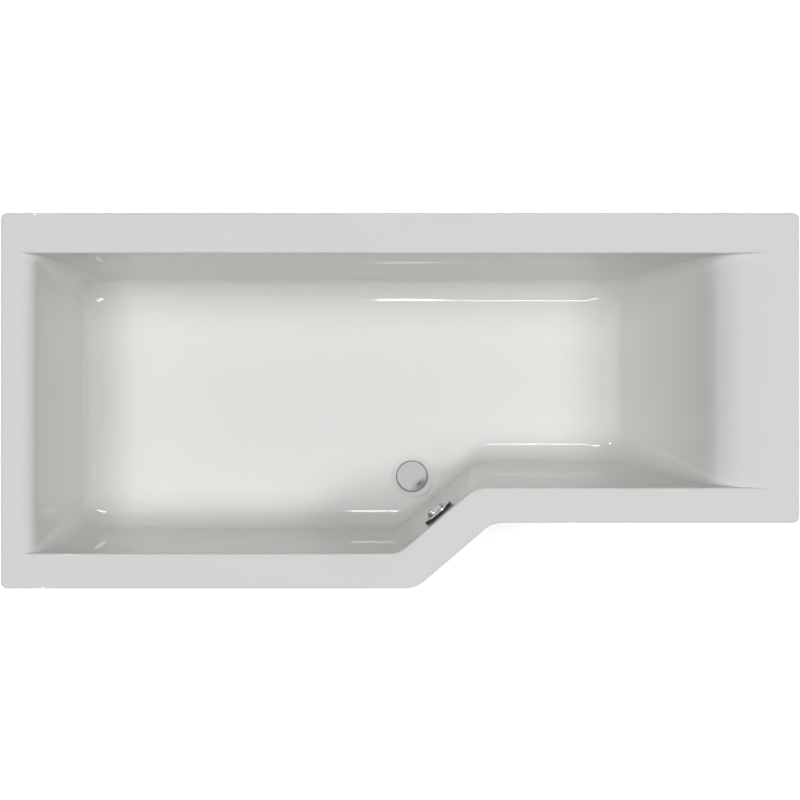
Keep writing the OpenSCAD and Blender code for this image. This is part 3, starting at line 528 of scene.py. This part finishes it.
def fitted(piece, node, body, material):
    """A piece that stands for a packed one and moves with the same body."""
    piece.data.materials.clear()
    piece.data.materials.append(material)
    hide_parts(node)
    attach(piece, body)


def sprayed_laminate():
    """Chopped strand in polyester resin, rolled out wet: cloudy amber resin over pale strands
    that lie in every direction, a little glossy where resin has run."""
    strand_mm, strand_long_mm, run_mm = 1.6, 30, 40
    material, tree, place = new_material("sprayed_glass_fibre_laminate")
    strands = None
    for angles in ((0, 0, 20), (35, 10, 75), (-30, 20, 130), (90, 25, 50), (70, -40, 165)):
        thin, long = per_mm(strand_mm), per_mm(strand_long_mm)
        lain = add_node(tree, "Mapping",
                        {"Vector": place, "Rotation": [math.radians(a) for a in angles],
                         "Scale": (long, thin, thin)})
        noise = add_node(tree, "TexNoise",
                         {"Vector": lain.outputs[0], "Scale": 1, "Detail": 1, "Distortion": 0.35})
        line = add_node(tree, "ValToRGB", {"Fac": noise.outputs["Fac"]},
                        stops=[(0.58, 0.0), (0.66, 1.0)]).outputs[0]
        strands = line if strands is None else add_node(tree, "Math", {0: strands, 1: line},
                                                        operation="MAXIMUM").outputs[0]
    runs = add_node(tree, "TexNoise", {"Vector": place, "Scale": per_mm(run_mm), "Detail": 3})
    resin = add_node(tree, "ValToRGB", {"Fac": runs.outputs["Fac"]},
                     stops=[(0.3, "#BFAE82"), (0.5, "#CFC19A"), (0.72, "#D9CDAB")]).outputs[0]
    thick = add_node(tree, "Math", {0: strands, 1: 0.55}, operation="MULTIPLY")
    colour = add_node(tree, "MixRGB",
                      {"Fac": thick.outputs[0], "Color1": resin, "Color2": linear("#E6DFC8")})
    wet = add_node(tree, "MapRange",
                   {"Value": runs.outputs["Fac"], "From Min": 0.3, "From Max": 0.7, "To Min": 0.30,
                    "To Max": 0.62})
    lumps = add_node(tree, "Math", {0: strands, 1: runs.outputs["Fac"]}, operation="ADD")
    bump = add_node(tree, "Bump", {"Height": lumps.outputs[0], "Strength": 0.8, "Distance": 0.0008})
    return finished(material, {"Base Color": colour.outputs[0], "Roughness": wet.outputs[0], "IOR": 1.54,
                               "Normal": bump.outputs[0]})


laminate_mesh = loft("sprayed_laminate", basin_rings(near_side, 56)[::-1]
                     + [rim_ring(LAMINATE_IN, near_side), rim_ring(LAMINATE_IN, far_side)]
                     + basin_rings(far_side, 56))
laminate = show("sprayed_laminate", laminate_mesh)
under_floor = floor_z - far_side
cut(laminate, prism("laminate_waste_hole", WASTE_CLEAR, under_floor - 0.005, under_floor + 0.023, 128,
                    at_waste))
cut(laminate, prism("laminate_overflow_hole", OVERFLOW_CLEAR, -far_side - 0.005, 0.003, 96, at_overflow))
laminate.data.shade_smooth()
laminate.data.set_sharp_from_angle(angle=math.radians(35))
fitted(laminate, "laminate", "bath", sprayed_laminate())


# ---- Base panel ----
# Chipboard, 18 mm, bonded under the floor of the bath so that the cradle has something to
# hold. It is cut away round the waste, and its sawn edges show the coarse core.
def raw_chipboard():
    """Pressed wood flakes, sanded: a mosaic of pale and brown chips with glue between them."""
    flake_mm, dust_mm, sanding_mm = 4.5, 1.2, 90
    material, tree, place = new_material("raw_chipboard")
    pressed = add_node(tree, "Mapping",
                       {"Vector": place, "Rotation": (0, 0, math.radians(15)),
                        "Scale": (per_mm(flake_mm), per_mm(flake_mm) * 0.7, per_mm(2))})
    flakes = add_node(tree, "TexVoronoi", {"Vector": pressed.outputs[0], "Scale": 1, "Randomness": 1.0},
                      feature="F1")
    tone = add_node(tree, "SeparateColor", {"Color": flakes.outputs["Color"]})
    chips = add_node(tree, "ValToRGB", {"Fac": tone.outputs[0]},
                     stops=[(0.0, "#8E6B43"), (0.25, "#B08A5A"),
                            (0.6, "#C6A274"), (1.0, "#D9BD92")]).outputs[0]
    dust = add_node(tree, "TexNoise", {"Vector": place, "Scale": per_mm(dust_mm), "Detail": 3})
    cloud = add_node(tree, "TexNoise", {"Vector": place, "Scale": per_mm(sanding_mm), "Detail": 2})
    speckled = add_node(tree, "MixRGB", {"Fac": 0.45, "Color1": chips, "Color2": dust.outputs["Fac"]},
                        blend_type="OVERLAY")
    colour = add_node(tree, "MixRGB",
                      {"Fac": 0.5, "Color1": speckled.outputs[0], "Color2": cloud.outputs["Fac"]},
                      blend_type="SOFT_LIGHT")
    bump = add_node(tree, "Bump", {"Height": dust.outputs["Fac"], "Strength": 0.5, "Distance": 0.0004})
    return finished(material, {"Base Color": colour.outputs[0], "Roughness": 0.85, "IOR": 1.5,
                               "Normal": bump.outputs[0]})


coat(raw_chipboard(), "baseboard")


# ---- Timber under the rim ----
# Strips of sawn softwood bonded under the rim on the long sides. They stiffen it and take the
# screws of the wall brackets.
def sawn_softwood():
    """Spruce off the saw: straight grain along the strip in pale straw and honey, knots few and
    small, saw marks across it, matt."""
    ring_mm, pore_mm, saw_mm, knot_mm = 3.2, 0.5, 2.4, 240
    material, tree, place = new_material("sawn_softwood")
    sawn = add_node(tree, "Mapping",
                    {"Vector": place, "Rotation": (math.radians(12), 0, math.radians(0.4)),
                     "Scale": (per_mm(160), per_mm(ring_mm * 3), per_mm(ring_mm))})
    waves = add_node(tree, "TexNoise",
                     {"Vector": sawn.outputs[0], "Scale": 1, "Detail": 4, "Distortion": 0.25})
    grain = add_node(tree, "ValToRGB", {"Fac": waves.outputs["Fac"]},
                     stops=[(0.30, "#B98A52"), (0.42, "#D2AA72"),
                            (0.52, "#E0C08C"), (0.70, "#E8CFA2")]).outputs[0]
    fibres = add_node(tree, "Mapping",
                      {"Vector": place, "Scale": (per_mm(14), per_mm(pore_mm), per_mm(pore_mm))})
    pores = add_node(tree, "TexNoise", {"Vector": fibres.outputs[0], "Scale": 1, "Detail": 2})
    fibrous = add_node(tree, "MixRGB", {"Fac": 0.35, "Color1": grain, "Color2": pores.outputs["Fac"]},
                       blend_type="OVERLAY")
    branches = add_node(tree, "Mapping",
                        {"Vector": place, "Scale": (per_mm(knot_mm), per_mm(70), per_mm(70))})
    knots = add_node(tree, "TexVoronoi", {"Vector": branches.outputs[0], "Scale": 1}, feature="F1")
    knot = add_node(tree, "ValToRGB", {"Fac": knots.outputs["Distance"]},
                    stops=[(0.05, 1.0), (0.11, 0.0)]).outputs[0]
    colour = add_node(tree, "MixRGB",
                      {"Fac": knot, "Color1": fibrous.outputs[0], "Color2": linear("#7C4F28")})
    saw = add_node(tree, "TexWave",
                   {"Vector": place, "Scale": per_mm(saw_mm) / 6.3, "Distortion": 1.5, "Detail": 2},
                   wave_type="BANDS", bands_direction="X")
    rough = add_node(tree, "Math", {0: saw.outputs["Fac"], 1: pores.outputs["Fac"]}, operation="ADD")
    bump = add_node(tree, "Bump", {"Height": rough.outputs[0], "Strength": 0.4, "Distance": 0.0003})
    return finished(material, {"Base Color": colour.outputs[0], "Roughness": 0.8, "IOR": 1.5,
                               "Normal": bump.outputs[0]})


coat(sawn_softwood(), "rim_battens")


# ---- Cradle and wall brackets ----
# Two channels, a plate for the middle foot and two angles for the wall, pressed from strip
# that was galvanised in the coil, so the spangle runs unbroken over their bends.
def galvanised_steel():
    """Hot dip zinc: flat crystals the size of a thumbnail, each a slightly different grey and
    sheen, with a dull film over them."""
    crystal_mm, film_mm, rolled_mm = 9, 60, 0.7
    material, tree, place = new_material("galvanised_steel")
    warp = add_node(tree, "TexNoise", {"Vector": place, "Scale": per_mm(crystal_mm), "Detail": 2})
    bent = add_node(tree, "VectorMath", {0: warp.outputs["Color"], 1: (0.006, 0.006, 0.006), 2: place},
                    operation="MULTIPLY_ADD")
    crystals = add_node(tree, "TexVoronoi", {"Vector": bent.outputs[0], "Scale": per_mm(crystal_mm)},
                        feature="F1")
    tone = add_node(tree, "SeparateColor", {"Color": crystals.outputs["Color"]})
    colour = add_node(tree, "ValToRGB", {"Fac": tone.outputs[0]},
                      stops=[(0.0, "#989DA1"), (0.5, "#ABAFB2"), (1.0, "#C0C3C4")]).outputs[0]
    film = add_node(tree, "TexNoise", {"Vector": place, "Scale": per_mm(film_mm), "Detail": 3})
    dull = add_node(tree, "Math", {0: tone.outputs[1], 1: 0.16, 2: 0.26}, operation="MULTIPLY_ADD")
    sheen = add_node(tree, "Math", {0: film.outputs["Fac"], 1: 0.18, 2: dull.outputs[0]},
                     operation="MULTIPLY_ADD")
    rolled = add_node(tree, "TexNoise", {"Vector": place, "Scale": per_mm(rolled_mm), "Detail": 1})
    bump = add_node(tree, "Bump", {"Height": rolled.outputs["Fac"], "Strength": 0.25, "Distance": 0.0001})
    return finished(material, {"Base Color": colour, "Metallic": 1.0, "Roughness": sheen.outputs[0],
                               "Normal": bump.outputs[0]})


coat(galvanised_steel(), "foot_end_rail", "head_end_rail", "mid_bracket", "wall_brackets")


# ---- Screws and nuts ----
# Zinc plated pan headed screws with a cross recess, driven up into the base and the strips,
# and the M10 nuts that clamp each foot to the cradle.
SCREW_RADIUS = 0.00244
SCREW_HEAD = 0.005
SCREW_HEAD_HIGH = 0.003
SCREW_DOME = 0.0016
SCREW_PITCH = 0.0018
SCREW_THREAD = 0.0005
SCREW_TIP = 0.0015
RECESS_REACH = 0.0026
RECESS_HALF_WIDTH = 0.00045
RINGS_A_TURN = 6


def bright_zinc():
    """Electroplated and clear passivated: bright silver with the faintest blue and straw
    clouds, a little dulled by handling."""
    cloud_mm, handling_mm = 8, 25
    material, tree, place = new_material("bright_zinc_plate")
    cloud = add_node(tree, "TexNoise", {"Vector": place, "Scale": per_mm(cloud_mm), "Detail": 2})
    colour = add_node(tree, "ValToRGB", {"Fac": cloud.outputs["Fac"]},
                      stops=[(0.3, "#BEC5CC"), (0.5, "#CBCCCB"), (0.7, "#CFC9BA")]).outputs[0]
    worn = add_node(tree, "TexNoise", {"Vector": place, "Scale": per_mm(handling_mm), "Detail": 4})
    sheen = add_node(tree, "MapRange",
                     {"Value": worn.outputs["Fac"], "From Min": 0.3, "From Max": 0.7, "To Min": 0.20,
                      "To Max": 0.38})
    return finished(material, {"Base Color": colour, "Metallic": 1.0, "Roughness": sheen.outputs[0]})


def lathe(name, profile, sides):
    """Turned solid about the Z axis, from a closed profile of (radius, height)."""
    rings = [[(r * cosine(360 * j / sides), r * sine(360 * j / sides), z) for j in range(sides)]
             for r, z in profile]
    return loft(name, rings, closed=True)


def threaded(radius, depth, pitch, low, high, sides, chamfer):
    """Rings of a real helical thread between two heights, closed by a chamfered top."""
    count = int(round((high - low) / pitch * RINGS_A_TURN))
    rings = []
    for k in range(count + 1):
        z = low + (high - low) * k / count
        ring = []
        for j in range(sides):
            phase = (z / pitch - j / sides) % 1
            r = radius - depth * (1 - abs(2 * phase - 1))
            r = min(r, radius - chamfer + max(0, high - z))
            ring.append((r * cosine(360 * j / sides), r * sine(360 * j / sides), z))
        rings.append(ring)
    return rings


def solids_of(node):
    """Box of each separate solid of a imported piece, as (lowest corner, highest corner)."""
    form = bmesh.new()
    form.from_mesh(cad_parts[node].data)
    bmesh.ops.remove_doubles(form, verts=form.verts, dist=1e-6)
    left = set(form.verts)
    boxes = []
    while left:
        group = [left.pop()]
        for vert in group:
            near = {e.other_vert(vert) for e in vert.link_edges} & left
            left -= near
            group += near
        points = np.array([v.co for v in group])
        boxes.append((points.min(0), points.max(0)))
    form.free()
    return sorted(boxes, key=lambda b: tuple(b[0]))


def joined(name, meshes, places):
    """One piece from meshes set at places."""
    form = bmesh.new()
    for mesh, place in zip(meshes, places):
        before = len(form.verts)
        form.from_mesh(mesh)
        form.verts.ensure_lookup_table()
        bmesh.ops.transform(form, matrix=place, verts=form.verts[before:])
    whole = bpy.data.meshes.new(name)
    form.to_mesh(whole)
    form.free()
    return show(name, whole)


def screw_mesh(length):
    """Pan headed screw, its thread up and its head down, with the face of the sheet at zero."""
    dome = [(SCREW_HEAD * sine(90 * f), -SCREW_HEAD_HIGH + SCREW_DOME * (1 - cosine(90 * f)))
            for f in (0, 0.2, 0.4, 0.6, 0.8, 1)]
    skirt = [(SCREW_HEAD, -0.0002), (SCREW_HEAD - 0.0002, 0), (0, 0)]
    head = show("screw_head", lathe("screw_head", dome + skirt, 32))
    for turn in (45, 135):
        rings = [[(x * reach, y * half, z) for x, y in ((-1, -1), (1, -1), (1, 1), (-1, 1))]
                 for reach, half, z in ((RECESS_REACH, RECESS_HALF_WIDTH, -0.0035),
                                        (RECESS_REACH * 0.35, RECESS_HALF_WIDTH * 0.8, -0.0010))]
        recess = loft("recess", rings)
        recess.transform(Matrix.Rotation(math.radians(turn), 4, "Z"))
        cut(head, recess)
    shank = loft("shank", threaded(SCREW_RADIUS, SCREW_THREAD, SCREW_PITCH, -0.0001, length, 16, SCREW_TIP))
    form = bmesh.new()
    form.from_mesh(head.data)
    form.from_mesh(shank)
    mesh = bpy.data.meshes.new("screw")
    form.to_mesh(mesh)
    form.free()
    bpy.data.objects.remove(head)
    return mesh


zinc = bright_zinc()
for node in ("base_screws", "bracket_screws"):
    boxes = solids_of(node)
    length = boxes[0][1][2] - boxes[0][0][2] - SCREW_HEAD_HIGH
    spots = [Matrix.Translation((*((low + high) / 2)[:2], low[2] + SCREW_HEAD_HIGH)) for low, high in boxes]
    turns = [spot @ Matrix.Rotation(math.radians(37 * k), 4, "Z") for k, spot in enumerate(spots)]
    screws = joined(f"{node}_recessed", [screw_mesh(length)] * len(turns), turns)
    fitted(screws, node, "bath", zinc)
coat(zinc, "stud_nuts")


# ---- Feet ----
# Five alike: a ribbed pad moulded round the head of an M10 stud, with a hexagon above the
# pad to turn it by. The thread is rolled and bright.
STUD_RADIUS = 0.005
STUD_PITCH = 0.0015
STUD_THREAD = 0.0009
STUD_TIP = 0.001
HEX_FLATS = 0.017
HEX_HIGH = 0.0048
HEX_CHAMFER = 0.001


def moulded_black():
    """Polypropylene from a spark eroded tool: near black, an even satin grain, and paler at
    rubbed edges. Its index is 1.49."""
    grain_mm, rub_mm = 0.6, 18
    material, tree, place = new_material("moulded_polypropylene_black")
    grain = add_node(tree, "TexNoise", {"Vector": place, "Scale": per_mm(grain_mm), "Detail": 2})
    rub = add_node(tree, "TexNoise", {"Vector": place, "Scale": per_mm(rub_mm), "Detail": 3})
    colour = add_node(tree, "ValToRGB", {"Fac": rub.outputs["Fac"]},
                      stops=[(0.35, "#19191B"), (0.75, "#262629")]).outputs[0]
    sheen = add_node(tree, "MapRange", {"Value": rub.outputs["Fac"], "To Min": 0.36, "To Max": 0.56})
    bump = add_node(tree, "Bump", {"Height": grain.outputs["Fac"], "Strength": 0.35, "Distance": 0.00015})
    return finished(material, {"Base Color": colour, "Roughness": sheen.outputs[0], "IOR": 1.49,
                               "Normal": bump.outputs[0]})


def hexagon(flats, low, high):
    """Chamfered hexagon bar between two heights, its sides cut from a turned blank."""
    tip = flats / math.sqrt(3)
    blank = [(0, low), (flats / 2, low), (tip, low + HEX_CHAMFER), (tip, high - HEX_CHAMFER),
             (flats / 2, high), (0, high)]
    bar = show("hexagon", lathe("hexagon", blank, 48))
    for k in range(6):
        rings = [[(flats / 2, -0.02, z), (flats, -0.02, z), (flats, 0.02, z), (flats / 2, 0.02, z)]
                 for z in (low - 0.001, high + 0.001)]
        side = loft("flat", rings)
        side.transform(Matrix.Rotation(math.radians(60 * k + 30), 4, "Z"))
        cut(bar, side)
    mesh = bar.data
    bpy.data.objects.remove(bar)
    return mesh


black_moulding = moulded_black()
coat(black_moulding, *(f"foot_pad_{k}" for k in range(1, 6)))
for k in range(1, 6):
    low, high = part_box(f"foot_stud_{k}")
    pad_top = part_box(f"foot_pad_{k}")[1].z
    rod = loft("stud_rod", threaded(STUD_RADIUS, STUD_THREAD, STUD_PITCH, low.z, high.z, 24, STUD_TIP))
    nut = hexagon(HEX_FLATS, pad_top, pad_top + HEX_HIGH)
    place = Matrix.Translation(((low.x + high.x) / 2, (low.y + high.y) / 2, 0))
    stud = joined(f"foot_stud_{k}_threaded", [rod, nut], [place, place])
    fitted(stud, f"foot_stud_{k}", f"foot_{k}", zinc)


# ---- Waste ----
# A flange of chromed brass in the dished seat, drawn down on soft seals by the moulded
# body under the bath. Its chrome is drawn darker than the cap's, as painted shade of the gap
# round the cap. The body holds the lifting lever and takes the overflow's hose.
def chrome_plate(name, tone, lighter, gloss):
    """Chrome over polished brass: a neutral mirror, or a darker copy of it as painted shade, with
    hairline wiping marks in its gloss and the least trace of ripple from polishing."""
    wipe_mm, ripple_mm = 0.5, 12
    material, tree, place = new_material(name)
    wiped = add_node(tree, "Mapping",
                     {"Vector": place, "Rotation": (0, 0, math.radians(40)),
                      "Scale": (per_mm(20), per_mm(wipe_mm), per_mm(wipe_mm))})
    wipe = add_node(tree, "TexNoise", {"Vector": wiped.outputs[0], "Scale": 1, "Detail": 2})
    sheen = add_node(tree, "MapRange",
                     {"Value": wipe.outputs["Fac"], "From Min": 0.35, "From Max": 0.65, "To Min": gloss,
                      "To Max": 2 * gloss})
    ripple = add_node(tree, "TexNoise", {"Vector": place, "Scale": per_mm(ripple_mm), "Detail": 1})
    colour = add_node(tree, "ValToRGB", {"Fac": ripple.outputs["Fac"]},
                      stops=[(0.3, tone), (0.7, lighter)]).outputs[0]
    bump = add_node(tree, "Bump", {"Height": ripple.outputs["Fac"], "Strength": 0.05, "Distance": 0.0001})
    return finished(material, {"Base Color": colour, "Metallic": 1.0, "Roughness": sheen.outputs[0],
                               "Normal": bump.outputs[0]})


def soft_rubber(name, low, high):
    """Moulded seal: matt, with the bloom that rubber gets in store."""
    bloom_mm, skin_mm = 9, 0.5
    material, tree, place = new_material(name)
    bloom = add_node(tree, "TexNoise", {"Vector": place, "Scale": per_mm(bloom_mm), "Detail": 3})
    colour = add_node(tree, "ValToRGB", {"Fac": bloom.outputs["Fac"]},
                      stops=[(0.35, low), (0.7, high)]).outputs[0]
    skin = add_node(tree, "TexNoise", {"Vector": place, "Scale": per_mm(skin_mm), "Detail": 1})
    bump = add_node(tree, "Bump", {"Height": skin.outputs["Fac"], "Strength": 0.3, "Distance": 0.0001})
    return finished(material, {"Base Color": colour, "Roughness": 0.72, "IOR": 1.52,
                               "Normal": bump.outputs[0]})


chrome = chrome_plate("bright_chrome_plate", "#BFBFBF", "#C2C2C2", 0.09)
# The flange gets a darker copy of the chrome: painted shade of the gap round the cap.
coat(chrome_plate("chrome_plate_painted_shade", "#8F9091", "#949596", 0.14), "waste_flange")
coat(soft_rubber("white_silicone_rubber", "#DCDCD6", "#E8E8E3"), "flange_seal")
black_rubber = soft_rubber("black_nitrile_rubber", "#151516", "#252527")
coat(black_rubber, "body_seal", "plug_seal")
coat(black_moulding, "waste_body")


# ---- Plug and its lever ----
# A chromed cap on a seal, and a stem of natural acetal that slides in the flange's spider. A
# small bell crank on a steel pin pushes the stem up when the cable is pulled.
def acetal(name, low, high):
    """Acetal straight from the tool: waxy and slightly see-through, which is drawn as a trace
    of light under the skin. Its index is 1.48."""
    flow_mm = 7
    material, tree, place = new_material(name)
    poured = add_node(tree, "Mapping",
                      {"Vector": place, "Scale": (per_mm(flow_mm), per_mm(flow_mm), per_mm(flow_mm * 3))})
    flow = add_node(tree, "TexNoise",
                    {"Vector": poured.outputs[0], "Scale": 1, "Detail": 2, "Distortion": 0.6})
    colour = add_node(tree, "ValToRGB", {"Fac": flow.outputs["Fac"]},
                      stops=[(0.3, low), (0.7, high)]).outputs[0]
    sheen = add_node(tree, "MapRange", {"Value": flow.outputs["Fac"], "To Min": 0.26, "To Max": 0.40})
    return finished(material, {"Base Color": colour, "Roughness": sheen.outputs[0], "IOR": 1.48,
                               "Subsurface Weight": 0.12, "Subsurface Scale": 0.002})


def drawn_stainless():
    """Stainless rod, centreless ground: fine rings round it that spread the shine lengthwise."""
    ring_mm = 0.4
    material, tree, place = new_material("ground_stainless_steel")
    ground = add_node(tree, "Mapping",
                      {"Vector": place, "Rotation": (0, 0, math.radians(90 - DIAGONAL)),
                       "Scale": (per_mm(ring_mm), per_mm(8), per_mm(8))})
    rings = add_node(tree, "TexNoise", {"Vector": ground.outputs[0], "Scale": 1, "Detail": 1})
    colour = add_node(tree, "ValToRGB", {"Fac": rings.outputs["Fac"]},
                      stops=[(0.35, "#A3A4A6"), (0.65, "#B6B7B8")]).outputs[0]
    sheen = add_node(tree, "MapRange", {"Value": rings.outputs["Fac"], "To Min": 0.22, "To Max": 0.38})
    return finished(material, {"Base Color": colour, "Metallic": 1.0, "Roughness": sheen.outputs[0]})


coat(chrome, "plug_cap")
coat(acetal("white_acetal", "#DAD9D2", "#E6E5DF"), "plug_stem")
natural_acetal = acetal("natural_acetal", "#CABF9F", "#D8CFB4")
coat(natural_acetal, "lift_lever")
coat(drawn_stainless(), "lever_pin")


# ---- Overflow ----
# A chromed cup and turning knob on the diagonal wall. A thin black band round the upper side
# of the cup is painted shade and painted reflection, for the dark strip where the cup meets the
# wall; it leaves the water slots below free. Behind the wall a moulded elbow takes the water down
# and carries the drum that the knob winds the cable on.
SHADE_BAND_INSIDE = 0.0336
SHADE_BAND_OUTSIDE = 0.0352
SHADE_BAND_BACK = 0.0004
SHADE_BAND_DEPTH = 0.0064
SHADE_BAND_EDGE = 0.001
SHADE_BAND_HALF_TURN = 122


def shade_band_section(turn):
    """Section of the black band of painted shade at a turn from the top of the cup, its front edge rounded.
    """
    profile = [(SHADE_BAND_INSIDE, SHADE_BAND_BACK), (SHADE_BAND_OUTSIDE, SHADE_BAND_BACK)]
    profile += [(SHADE_BAND_OUTSIDE - SHADE_BAND_EDGE * (1 - cosine(a)), SHADE_BAND_DEPTH - SHADE_BAND_EDGE * (1 - sine(a)))
                for a in (0, 30, 60, 90)]
    profile.append((SHADE_BAND_INSIDE, SHADE_BAND_DEPTH))
    return [tuple(at_overflow @ Vector((r * cosine(turn), r * sine(turn), z))) for r, z in profile]


# A band of black moulding round the upper side of the cup: painted shade, not a part of the overflow.
shade_band_turns = range(-SHADE_BAND_HALF_TURN, SHADE_BAND_HALF_TURN + 1, 2)
painted_shade_band = show("overflow_painted_shade_band", loft("overflow_painted_shade_band", [shade_band_section(a) for a in shade_band_turns]))
painted_shade_band.data.materials.append(black_moulding)
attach(painted_shade_band, "bath")
coat(chrome, "overflow_rosette", "overflow_knob")
coat(black_moulding, "overflow_insert", "overflow_body")
coat(black_rubber, "overflow_gasket")
coat(natural_acetal, "cable_drum")


# ---- Overflow hose ----
# Blow moulded hose with round ribs, 406 mm along its middle, from the elbow down the back of
# the wall and round a bend to the waste, with a union nut at each end.
HOSE_BORE = 0.013
HOSE_ROOT = 0.0156
HOSE_CREST = 0.017
HOSE_RIBS = 81
HOSE_BEND = 0.042
HOSE_SIDES = 32
INLET_Z = 0.100
INLET_OUT = 0.033
HOSE_GAP = 0.0005
ELBOW_BACK = 0.036
ELBOW_DOWN = 0.042


def on_wall(up, off):
    """Point of the overflow's frame as (out from the waste, height)."""
    return (overflow_out + up * sine(slant_draft) - off * cosine(slant_draft),
            RIM_HEIGHT - OVERFLOW_DROP + up * cosine(slant_draft) + off * sine(slant_draft))


hose_top = on_wall(-ELBOW_DOWN - HOSE_GAP, -ELBOW_BACK)
hose_drop = (hose_top[1] - INLET_Z - HOSE_BEND * (1 - sine(slant_draft))) / cosine(slant_draft)
bend_out = hose_top[0] - hose_drop * sine(slant_draft) - HOSE_BEND * cosine(slant_draft)
bend_length = HOSE_BEND * math.radians(90 - slant_draft)
hose_length = hose_drop + bend_length + bend_out - INLET_OUT - HOSE_GAP


def hose_point(s):
    """Point of the hose's middle line, as (out, height, direction of travel in degrees)."""
    if s < hose_drop:
        return (hose_top[0] - s * sine(slant_draft), hose_top[1] - s * cosine(slant_draft),
                270 - slant_draft)
    if s < hose_drop + bend_length:
        a = slant_draft + math.degrees((s - hose_drop) / HOSE_BEND)
        return (bend_out + HOSE_BEND * cosine(a), INLET_Z + HOSE_BEND * (1 - sine(a)), 270 - a)
    return (bend_out - (s - hose_drop - bend_length), INLET_Z, 180)


def hose_ring(s, radius):
    out, up, way = hose_point(s)
    return [(out - radius * cosine(a) * sine(way), radius * sine(a), up + radius * cosine(a) * cosine(way))
            for a in (360 * j / HOSE_SIDES for j in range(HOSE_SIDES))]


def ribbed_hose():
    """Polypropylene hose: mid grey, satin crests and duller roots, a little dusty."""
    dust_mm, grain_mm = 14, 0.6
    material, tree, place = new_material("blow_moulded_hose_grey")
    dust = add_node(tree, "TexNoise", {"Vector": place, "Scale": per_mm(dust_mm), "Detail": 4})
    colour = add_node(tree, "ValToRGB", {"Fac": dust.outputs["Fac"]},
                      stops=[(0.3, "#A3A7AA"), (0.7, "#B4B7B8")]).outputs[0]
    sheen = add_node(tree, "MapRange", {"Value": dust.outputs["Fac"], "To Min": 0.34, "To Max": 0.56})
    grain = add_node(tree, "TexNoise", {"Vector": place, "Scale": per_mm(grain_mm), "Detail": 1})
    bump = add_node(tree, "Bump", {"Height": grain.outputs["Fac"], "Strength": 0.25, "Distance": 0.0001})
    return finished(material, {"Base Color": colour, "Roughness": sheen.outputs[0], "IOR": 1.49,
                               "Normal": bump.outputs[0]})


rib_step = hose_length / HOSE_RIBS
rib_shape = [(0.0, 0.0), (0.16, 0.05), (0.28, 0.62), (0.40, 0.95), (0.5, 1.0), (0.60, 0.95), (0.72, 0.62),
             (0.84, 0.05)]
outside = [hose_ring((k + f) * rib_step, HOSE_ROOT + (HOSE_CREST - HOSE_ROOT) * h)
           for k in range(HOSE_RIBS) for f, h in rib_shape] + [hose_ring(hose_length, HOSE_ROOT)]
bore = [hose_ring(hose_length * k / 90, HOSE_BORE) for k in range(90, -1, -1)]
hose_mesh = loft("overflow_hose_ribbed", outside + bore, closed=True)
hose_mesh.transform(at_waste)
hose = show("overflow_hose_ribbed", hose_mesh, 60)
fitted(hose, "overflow_hose", "bath", ribbed_hose())
coat(black_moulding, "hose_nut_top", "hose_nut_bottom")


# ---- Control cable ----
# A steel wire in a smooth plastic sleeve, 453 mm long, from the elbow down beside the hose
# and in to the gland of the waste body, where it works the lever.
CABLE_RADIUS = 0.003
BOSS_DOWN = 0.034
BOSS_SIDE = 0.026
GLAND_OUT = 0.040
GLAND_SIDE = 0.015
GLAND_Z = 0.075
IN_GLAND = 0.008
CABLE_DOWN = 0.270
CABLE_IN = 0.140
CABLE_RINGS = 150
CABLE_SIDES = 20


def black_sleeve():
    """Extruded soft vinyl: black and smooth, with faint drawing lines along it."""
    line_mm, smear_mm = 0.8, 30
    material, tree, place = new_material("extruded_vinyl_sleeve")
    smear = add_node(tree, "TexNoise", {"Vector": place, "Scale": per_mm(smear_mm), "Detail": 3})
    colour = add_node(tree, "ValToRGB", {"Fac": smear.outputs["Fac"]},
                      stops=[(0.3, "#141416"), (0.75, "#202022")]).outputs[0]
    sheen = add_node(tree, "MapRange", {"Value": smear.outputs["Fac"], "To Min": 0.22, "To Max": 0.38})
    lines = add_node(tree, "TexNoise", {"Vector": place, "Scale": per_mm(line_mm), "Detail": 1})
    bump = add_node(tree, "Bump", {"Height": lines.outputs["Fac"], "Strength": 0.15, "Distance": 0.0001})
    return finished(material, {"Base Color": colour, "Roughness": sheen.outputs[0], "IOR": 1.53,
                               "Normal": bump.outputs[0]})


start_out, start_up = on_wall(-BOSS_DOWN + IN_GLAND, -ELBOW_BACK)
cable_start = np.array((start_out, BOSS_SIDE, start_up))
cable_end = np.array((GLAND_OUT - IN_GLAND, GLAND_SIDE, GLAND_Z))
cable_down = cable_start + CABLE_DOWN * np.array((-sine(slant_draft), 0, -cosine(slant_draft)))
cable_in = cable_end + np.array((CABLE_IN, 0, 0))


def cable_point(f):
    """Point of the cable's middle line at a share of its way, led down and then in by its handles."""
    p = ((1 - f) ** 3 * cable_start + 3 * f * (1 - f) ** 2 * cable_down
         + 3 * f * f * (1 - f) * cable_in + f ** 3 * cable_end)
    t = max(0, 2 * f - 1)
    p[1] = BOSS_SIDE + (GLAND_SIDE - BOSS_SIDE) * t * t * (3 - 2 * t)
    return p


def cable_ring(f):
    way = cable_point(min(1, f + 0.005)) - cable_point(max(0, f - 0.005))
    a = np.cross(way, (0, 1, 0))
    a /= np.linalg.norm(a)
    b = np.cross(way / np.linalg.norm(way), a)
    return [tuple(cable_point(f) + CABLE_RADIUS * (cosine(360 * j / CABLE_SIDES) * a
                                                   + sine(360 * j / CABLE_SIDES) * b))
            for j in range(CABLE_SIDES)]


cable_mesh = loft("control_cable_sleeve", [cable_ring(k / CABLE_RINGS) for k in range(CABLE_RINGS + 1)])
cable_mesh.transform(at_waste)
cable = show("control_cable_sleeve", cable_mesh)
fitted(cable, "control_cable", "bath", black_sleeve())
